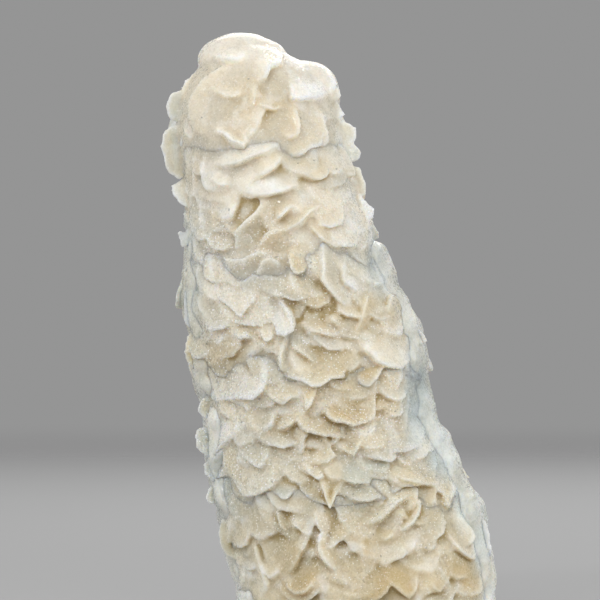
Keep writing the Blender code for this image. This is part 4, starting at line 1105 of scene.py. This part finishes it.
def ellipsoid(centre, axes, seed=None):
    """A closed swelling: points and faces. Each row of axes is a half-size direction.

    With a seed, a few random flats are cut from it.
    """
    rings, segments = 30, 48
    polar = np.linspace(0, math.pi, rings + 1)[1:-1]
    turn = np.arange(segments) * math.tau / segments
    p, t = np.meshgrid(polar, turn, indexing="ij")
    unit = np.stack([np.sin(p) * np.cos(t), np.sin(p) * np.sin(t), np.cos(p)], axis=-1)
    unit = np.vstack([[0, 0, 1.0], unit.reshape(-1, 3), [0, 0, -1.0]])
    if seed is not None:
        rng = np.random.default_rng(seed)
        cuts = rng.normal(size=(FLATS, 3))
        cuts /= np.linalg.norm(cuts, axis=1)[:, None]
        reach = np.clip(unit @ cuts.T, 0.2, 1.0)
        cut = np.minimum(1.0, (rng.uniform(*FLAT_REACH, FLATS) / reach).min(axis=1))
        unit = unit * cut[:, None] * 1.05
    faces = []
    last = 1 + (rings - 2) * segments
    for k in range(segments):
        n = (k + 1) % segments
        faces.append((0, 1 + k, 1 + n))
        for a in range(1, last, segments):
            faces.append((a + k, a + segments + k, a + segments + n, a + n))
        faces.append((last + k, len(unit) - 1, last + n))
    return centre + unit @ np.asarray(axes), faces


def inset_column():
    """The bare column, a little slimmer: points and faces."""
    rings, segments = CORE_RINGS, CORE_SEGMENTS
    heights = TOP * (1 - (1 - np.linspace(0, 1, rings)) ** 1.3)
    angles = np.arange(segments) * math.tau / segments
    h, a = (grid.ravel() for grid in np.meshgrid(heights, angles, indexing="ij"))
    points = column_points(a, h) - CORE_INSET * column_normals(a, h)
    points[:, 2] = h
    faces = []
    for low in range(0, (rings - 1) * segments, segments):
        high = low + segments
        for k in range(segments):
            n = (k + 1) % segments
            faces.append((low + k, low + n, high + n, high + k))
    faces.append(tuple(range(segments))[::-1])
    faces.append(tuple(range((rings - 1) * segments, rings * segments)))
    return points, faces


def back_sites():
    """The big blades and swellings of the back, where the solids have them."""
    sites = []
    rows = int((BACK_HIGHEST - BACK_LOWEST) / BACK_ROW_STEP) + 1
    spread = (BACK_ARC[1] - BACK_ARC[0]) / (BACK_SITES - 0.5)
    for row in range(rows):
        for place in range(BACK_SITES):
            number = row * BACK_SITES + place + 1
            stagger = 0.5 * (row % 2) + between(-0.2, 0.2, number, 1)
            angle = math.radians(BACK_ARC[0] + spread * (place + stagger))
            height = BACK_LOWEST + BACK_ROW_STEP * row + between(-2.2, 2.2, number, 2)
            sites.append((number, angle, height))
    return sites


def swelling_arrays():
    """The slimmer column with its smooth swellings: points and faces."""
    parts = [inset_column()]
    for way, (heights, across) in ((-1, RIGHT_LINE), (1, LEFT_LINE)):
        for number in range(int(heights[-1] / RIDGE_STEP)):
            height = RIDGE_STEP * (number + 0.5)
            wide = between(*RIDGE_WIDE, number, 90 + way)
            deep = between(*RIDGE_DEEP, number, 93 + way)
            tall = between(*RIDGE_TALL, number, 96 + way)
            middle = np.interp(height, heights, across) + way * (wide - RIDGE_SWELL)
            centre = np.array([middle, 0.8, height])
            parts.append(ellipsoid(centre, np.diag([wide, deep, tall]), RIDGE_SEED + number))
    for number, angle, height in back_sites():
        if chance(number, 3) >= BACK_BLADE_SHARE:
            radius = between(*BACK_LUMP_RADIUS, number, 9)
            normal = bare_normal(angle, height)
            sink = normal * BACK_LUMP_SINK * radius * BACK_LUMP_FLATNESS
            across = np.cross([0, 0, 1.0], normal)
            across /= np.linalg.norm(across)
            axes = np.array([across, np.cross(normal, across), normal * BACK_LUMP_FLATNESS])
            centre = bare_point(angle, height) - sink
            parts.append(ellipsoid(centre, axes * radius, BACK_LUMP_SEED + number))
    all_points, all_faces, count = [], [], 0
    for points, faces in parts:
        points[:, 2] = np.maximum(points[:, 2], 0.0)
        all_points.append(points)
        all_faces += [tuple(v + count for v in face) for face in faces]
        count += len(points)
    return np.vstack(all_points), all_faces


# ---- blades of the back, and small plates ---------------------------------------------------

def band_at(height, behind):
    """The name of the band that a blade at this height belongs to."""
    arc = BACK_SIDE_ARC if behind else FRONT_ARC
    bands = (name for name, low, _, band_arc in BANDS if band_arc is arc and height >= low)
    return next(bands, "blades_lower")


def turned(places, turn):
    """Flat places turned by an angle round their own origin."""
    wheel = np.array([[math.cos(turn), math.sin(turn)], [-math.sin(turn), math.cos(turn)]])
    return np.asarray(places, float) @ wheel


def add_back_blade(groups, number, angle, height):
    """One of the back's big blades; returns the points of its front that cover the column."""
    half_width = between(*BACK_HALF_WIDTH, number, 4)
    length = between(*BACK_LENGTH, number, 5)
    turn = math.radians(between(-BACK_TURN, BACK_TURN, number, 6))
    proud = between(*BACK_PROUD, number, 7)
    places = []
    for k in range(BACK_RIM_POINTS):
        swing = math.pi * (k + 0.5) / BACK_RIM_POINTS
        knock = between(0.85, 1.15, number, 10 + k)
        places.append((-half_width * math.cos(swing) * knock, half_width * (1 - math.sin(swing))))
    radius = girth_radius(height)
    origin = np.array([angle * radius, height])
    rim = origin + turned(places, turn)
    root = origin + turned([(0.0, length)], turn)[0]
    tint = BACK_TINTS[int(chance(number, 60) * len(BACK_TINTS))]
    group = groups[band_at(height, True)]
    return group.add(FIRST_BACK + number, root, rim, proud, BACK_THICKNESS, tint, on_side(radius))


def way_at(x, z):
    """The way that the front blades near a spot point, as across and up."""
    away = ((RIM_MIDDLES - (x, z)) ** 2).sum(axis=1)
    total = (BLADE_WAYS / (away + 9.0)[:, None] ** 2).sum(axis=0)
    return total / np.linalg.norm(total)


def scattered_sites(rng, pitch):
    """Angles and heights spread over the whole column, in a shuffled order."""
    sites = []
    for height in np.arange(1.0, TOP - 7.0, pitch):
        count = int(math.tau * girth_radius(height) / pitch)
        for k in range(count):
            angle = math.tau * (k + rng.random()) / count - math.pi
            sites.append((angle, height + rng.uniform(-0.5, 0.5) * pitch))
    rng.shuffle(sites)
    return sites


def no_room(taken, base, size, closeness):
    """Whether a plate of this size would lie too close to one of those laid before it."""
    return (np.linalg.norm(taken[:, :3] - base, axis=1) < (taken[:, 3] + size) * closeness).any()


def lay_plate(groups, rng, number, angle, height, size, proud, tint, way):
    """One small plate laid like a shingle, its rim towards the given way."""
    base = bare_point(angle, height)
    way, across = turned([way, (-way[1], way[0])], math.radians(rng.normal(0, 24)))
    swings = math.pi * (np.arange(PLATE_RIM_POINTS) + 0.5) / PLATE_RIM_POINTS
    knocks = rng.uniform(0.75, 1.3, PLATE_RIM_POINTS)
    slant = rng.uniform(-0.5, 0.5)
    curl = (np.sin(swings) ** rng.uniform(0.7, 2.2) - 1) * rng.uniform(0.6, 1.4)
    droop = size * (curl + slant * np.cos(swings)) * knocks
    places = np.outer(-size * np.cos(swings) * knocks, across) + np.outer(droop, way)
    radius = girth_radius(height)
    origin = np.array([angle * radius, height])
    root = origin - way * size * rng.uniform(1.5, 2.4)
    rim = origin + places
    rim[:, 1] = np.minimum(rim[:, 1], TOP - PLATE_TOP_GAP)
    proud *= max(0.3, min(1.0, (TOP - height) / 8.0))
    group = groups[band_at(base[2], base[1] > 0)]
    group.add(number, root, rim, proud, PLATE_THICKNESS, tint, on_side(radius), PLATE_ENDS)


def add_underlay(groups):
    """A low layer of overlapping plates over the whole column, so that no part of it lies bare."""
    rng = np.random.default_rng(UNDERLAY_SEED)
    taken = np.zeros((0, 4))
    for angle, height in scattered_sites(rng, UNDERLAY_PITCH):
        base = bare_point(angle, height)
        size = rng.uniform(*UNDERLAY_SIZES)
        proud = rng.uniform(*UNDERLAY_PROUD)
        if height > UNDERLAY_TOP and base[1] < 0:
            continue
        if near_any(base[None], SKIN_PATCHES)[0] > BARE_SKIN:
            continue
        if no_room(taken, base, size, UNDERLAY_CLOSENESS):
            continue
        taken = np.vstack([taken, [*base, size]])
        number = FIRST_UNDERLAY + len(taken)
        way = way_at(base[0], base[2]) if base[1] < -1.0 else DOWNWARD
        tint = UNDERLAY_TINTS[number % len(UNDERLAY_TINTS)]
        lay_plate(groups, rng, number, angle, height, size, proud, tint, way)


def add_plates(groups, covered):
    """Small plates in the gaps between the big blades."""
    rng = np.random.default_rng(PLATE_SEED)
    _, angles = standing_off(covered)
    blades = tree_of(column_points(angles, np.clip(covered[:, 2], 0.0, TOP)))
    taken = np.zeros((0, 4))
    for angle, height in scattered_sites(rng, PLATE_PITCH):
        base, normal = bare_point(angle, height), bare_normal(angle, height)
        size = rng.uniform(*PLATE_SIZES) * np.interp(height, (60.0, 100.0), (1.0, 1.4))
        share = rng.random(3)
        behind = base[1] > 0
        if behind:
            size *= BACK_PITCH_SHARE
        if blades.find(base)[2] < PLATE_CLEAR + 0.12 * size or behind and share[2] > 0.72:
            continue
        if height > UNDERLAY_TOP and not behind and share[2] > 0.2:
            continue
        if near_any(base[None], SKIN_PATCHES)[0] > BARE_SKIN and base[1] > -12:
            continue
        if no_room(taken, base, size, PLATE_CLOSENESS):
            continue
        taken = np.vstack([taken, [*base, size]])
        way, tints = DOWNWARD, BACK_PLATE_TINTS
        if base[1] < -1.0:
            nearest = ((RIM_MIDDLES - (base[0], base[2])) ** 2).sum(axis=1).argmin()
            way = way_at(base[0], base[2])
            tints = FRONT_BLADES[nearest][0] if share[0] < 0.6 else FRONT_PLATE_TINTS
        tint = tints[int(share[1] * len(tints))]
        flatter = 0.9 if behind else min(1.0, 0.3 + abs(normal[1]))
        proud = rng.uniform(*PLATE_PROUD) * flatter
        lay_plate(groups, rng, FIRST_PLATE + len(taken), angle, height, size, proud, tint, way)


# ---- materials ------------------------------------------------------------------------------

def node(tree, kind, inputs, **settings):
    """A new shader node. Each input is linked to another node's output, or holds a value."""
    made = tree.nodes.new("ShaderNode" + kind)
    for name, setting in settings.items():
        setattr(made, name, setting)
    for socket, value in inputs.items():
        if isinstance(value, bpy.types.NodeSocket):
            tree.links.new(value, made.inputs[socket])
        else:
            made.inputs[socket].default_value = value
    return made


def maths(tree, operation, *values, kind="Math"):
    return node(tree, kind, dict(enumerate(values)), operation=operation).outputs[0]


def scaled(tree, vector, scale):
    return node(tree, "VectorMath", {0: vector, "Scale": scale}, operation="SCALE").outputs[0]


def ranged(tree, value, low, high, start=0.0, end=1.0, **settings):
    """A value's place between low and high, given as start to end."""
    inputs = {"Value": value, "From Min": low, "From Max": high, "To Min": start, "To Max": end}
    return node(tree, "MapRange", inputs, **settings).outputs["Result"]


def quartz_material(name, glow):
    """Milky quartz. Where its sugar layer is high it has tilted facets that glint, painted glints
    as white specks in its colour, and fine bumps.
    """
    quartz = bpy.data.materials.new(name)
    quartz.use_nodes = True
    tree = quartz.node_tree
    shader = tree.nodes["Principled BSDF"]
    shader.inputs["Roughness"].default_value = 0.5
    shader.inputs["IOR"].default_value = 1.54
    shader.inputs["Subsurface Weight"].default_value = 0.92
    shader.inputs["Subsurface Radius"].default_value = (1.0, 0.85, 0.65)
    shader.inputs["Subsurface Scale"].default_value = glow
    place = node(tree, "TexCoord", {}).outputs["Object"]
    tone = node(tree, "Attribute", {}, attribute_name="tone").outputs["Color"]
    sugar = node(tree, "Attribute", {}, attribute_name="sugar").outputs["Fac"]
    grains = node(tree, "TexVoronoi", {"Scale": GRAINS_PER_METRE, "Vector": place})
    crumbs = node(tree, "TexVoronoi", {"Scale": CRUMBS_PER_METRE, "Vector": place})
    colour, from_middle = grains.outputs["Color"], grains.outputs["Distance"]

    lean = maths(tree, "SUBTRACT", colour, (0.5, 0.5, 0.5), kind="VectorMath")
    leaned = scaled(tree, lean, maths(tree, "MULTIPLY", sugar, FACET_TILT))
    surface = node(tree, "NewGeometry", {}).outputs["Normal"]
    facet = maths(tree, "ADD", surface, leaned, kind="VectorMath")
    bump = node(tree, "Bump", {
        "Distance": BUMP_DEPTH,
        "Height": maths(tree, "ADD", from_middle, crumbs.outputs["Distance"]),
        "Strength": maths(tree, "MULTIPLY", sugar, 0.75),
        "Normal": maths(tree, "NORMALIZE", facet, kind="VectorMath"),
    }, invert=True)
    tree.links.new(bump.outputs["Normal"], shader.inputs["Normal"])

    red, green, blue = node(tree, "SeparateColor", {"Color": colour}).outputs
    swing = maths(tree, "SUBTRACT", red, 0.5)
    depth = maths(tree, "MULTIPLY_ADD", sugar, 0.10, 0.02)
    tinted = scaled(tree, tone, maths(tree, "MULTIPLY_ADD", swing, depth, 1.0))
    # Painted glints: a few grain cells turned white in the base colour where the sugar layer is
    # high.
    chosen, middle = ranged(tree, blue, 0.84, 0.90), ranged(tree, from_middle, 0.55, 0.3)
    painted_glints = maths(tree, "MULTIPLY", maths(tree, "MULTIPLY", chosen, middle), sugar)
    white = (1.0, 1.0, 1.0, 1.0)
    glint_painted_colour = node(tree, "Mix", {"Factor": painted_glints, "A": tinted, "B": white}, data_type="RGBA")
    tree.links.new(glint_painted_colour.outputs["Result"], shader.inputs["Base Color"])
    tree.links.new(ranged(tree, green, 0.55, 0.65, 0.55, 0.18), shader.inputs["Roughness"])
    return quartz


def floor_material():
    """A pale matt floor that thins out to nothing far from the specimen."""
    pale = bpy.data.materials.new("pale_floor")
    pale.use_nodes = True
    tree = pale.node_tree
    shader = tree.nodes["Principled BSDF"]
    shader.inputs["Base Color"].default_value = (FLOOR_GREY, FLOOR_GREY, FLOOR_GREY, 1.0)
    shader.inputs["Roughness"].default_value = 0.9
    place = node(tree, "TexCoord", {}).outputs["Object"]
    away = node(tree, "VectorMath", {0: place}, operation="LENGTH").outputs["Value"]
    fade = ranged(tree, away, 0.35, 1.6, 1.0, 0.0, interpolation_type="SMOOTHSTEP")
    tree.links.new(fade, shader.inputs["Alpha"])
    return pale


# ---- floor, light and camera ----------------------------------------------------------------

def add_stage():
    mesh = bpy.data.meshes.new("floor")
    turns = [math.tau * k / FLOOR_SIDES for k in range(FLOOR_SIDES)]
    ring = [(FLOOR_RADIUS * math.cos(turn), FLOOR_RADIUS * math.sin(turn), 0.0) for turn in turns]
    mesh.from_pydata(ring, [], [tuple(range(FLOOR_SIDES))])
    floor = placed("floor", mesh)
    floor.location = (0.0, 0.0, -FLOOR_DROP)
    mesh.materials.append(floor_material())


def add_world():
    world = bpy.data.worlds.new("studio")
    world.use_nodes = True
    sky = world.node_tree.nodes["Background"]
    sky.inputs["Color"].default_value = (STUDIO_GREY, STUDIO_GREY, STUDIO_GREY, 1.0)
    sky.inputs["Strength"].default_value = 1.0
    bpy.context.scene.world = world


def add_light(name, place, size, watts):
    lamp = bpy.data.lights.new(name, "AREA")
    lamp.shape = "DISK"
    lamp.size = size
    lamp.energy = watts
    light = placed(name, lamp)
    light.location = place
    way = Vector(LIT_POINT) - Vector(place)
    light.rotation_euler = way.to_track_quat("-Z", "Y").to_euler()


def add_camera():
    lens = bpy.data.cameras.new("camera")
    lens.sensor_width = SENSOR
    lens.lens = SENSOR * (CAMERA_AWAY - FRAMED_DEPTH) / FRAME_WIDTH
    lens.clip_end = 20.0
    camera = placed("camera", lens)
    camera.location = (FRAME_CENTRE_X * MM, -CAMERA_AWAY * MM, FRAME_CENTRE_Z * MM)
    camera.rotation_euler = (math.radians(90), 0, 0)
    bpy.context.scene.camera = camera


# ---- making the specimen --------------------------------------------------------------------

def grown_groups():
    """All the blades, heads and plates, gathered by band."""
    groups = {}
    for name, low, high, angles in BANDS:
        groups[name] = BladeGroup()
        groups[name].add_backing(angles, max(low - BAND_LAP, 0.0), min(high + BAND_LAP, TOP))
    covered = []
    for number, (tint, root, proud, thickness, rim) in enumerate(FRONT_BLADES, 1):
        group = groups[band_at(np.mean([z for _, z in rim]), False)]
        proud *= np.interp(root[1], BLADE_RISE_HEIGHTS, BLADE_RISE)
        covered.append(group.add(number, root, rim, proud, thickness, tint, on_front))
    for number, angle, height in back_sites():
        if chance(number, 3) < BACK_BLADE_SHARE:
            covered.append(add_back_blade(groups, number, angle, height))
    for centre, half_sizes in CROWN_HEADS:
        groups["blades_crown"].add_head(centre, half_sizes)
    add_underlay(groups)
    add_plates(groups, np.vstack(covered))
    return groups


def blades_mesh(name, group, voxel, field):
    """One band's blades fused, filled, thinned inside and finished."""
    points, faces, tints, rims = group.arrays()
    points[:, 2] = np.maximum(points[:, 2], 0.0)
    mesh = fused(name, points, faces, voxel, FUSED_SMOOTHING)
    write_points(mesh, hollows_filled(points_of(mesh), quads_of(mesh)))
    mesh = hidden_thinned(mesh, HIDDEN_DEPTH)
    owners = nearest_of(points_of(mesh), points)
    tone = evened(mesh, tints[owners, :3], LAYER_ROUNDS)
    others = evened(mesh, np.stack([rims, tints[:, 3], rims], axis=1)[owners], LAYER_ROUNDS)
    finish(mesh, tone, others[:, 0], others[:, 1], field)
    return mesh


def swellings_mesh(name, field):
    """The smooth chalcedony, fused and finished."""
    mesh = fused(name, *swelling_arrays(), CORE_VOXEL, CORE_SMOOTHING)
    mesh = hidden_thinned(mesh, CORE_HIDDEN_DEPTH)
    count = len(mesh.vertices)
    tints = np.repeat([linear(COLUMN_TINT)], count, axis=0)
    finish(mesh, tints, np.zeros(count), 0.8, field, least_skin=0.8)
    return mesh


def specimen_piece(name, mesh, material):
    piece = placed(name, mesh)
    mesh.materials.clear()
    mesh.materials.append(material)
    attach(piece, "root")
    return piece


def make_specimen():
    quartz = quartz_material("milky_quartz", BLADE_GLOW)
    chalcedony = quartz_material("milky_chalcedony", CHALCEDONY_GLOW)
    groups = grown_groups()
    field = crevice_field([np.vstack(group.points) for group in groups.values()])
    pieces = []
    for name, group in groups.items():
        behind = "back" in name
        mesh = blades_mesh(name, group, BACK_VOXEL if behind else FRONT_VOXEL, field)
        pieces.append(specimen_piece(name, mesh, chalcedony if behind else quartz))
    mesh = swellings_mesh("smooth_swellings", field)
    pieces.append(specimen_piece("smooth_swellings", mesh, chalcedony))
    for piece in pieces:
        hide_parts("quartz_column")


add_world()
add_stage()
for light in LIGHTS:
    add_light(*light)
bpy.context.scene.view_settings.view_transform = "Standard"
add_camera()
make_specimen()
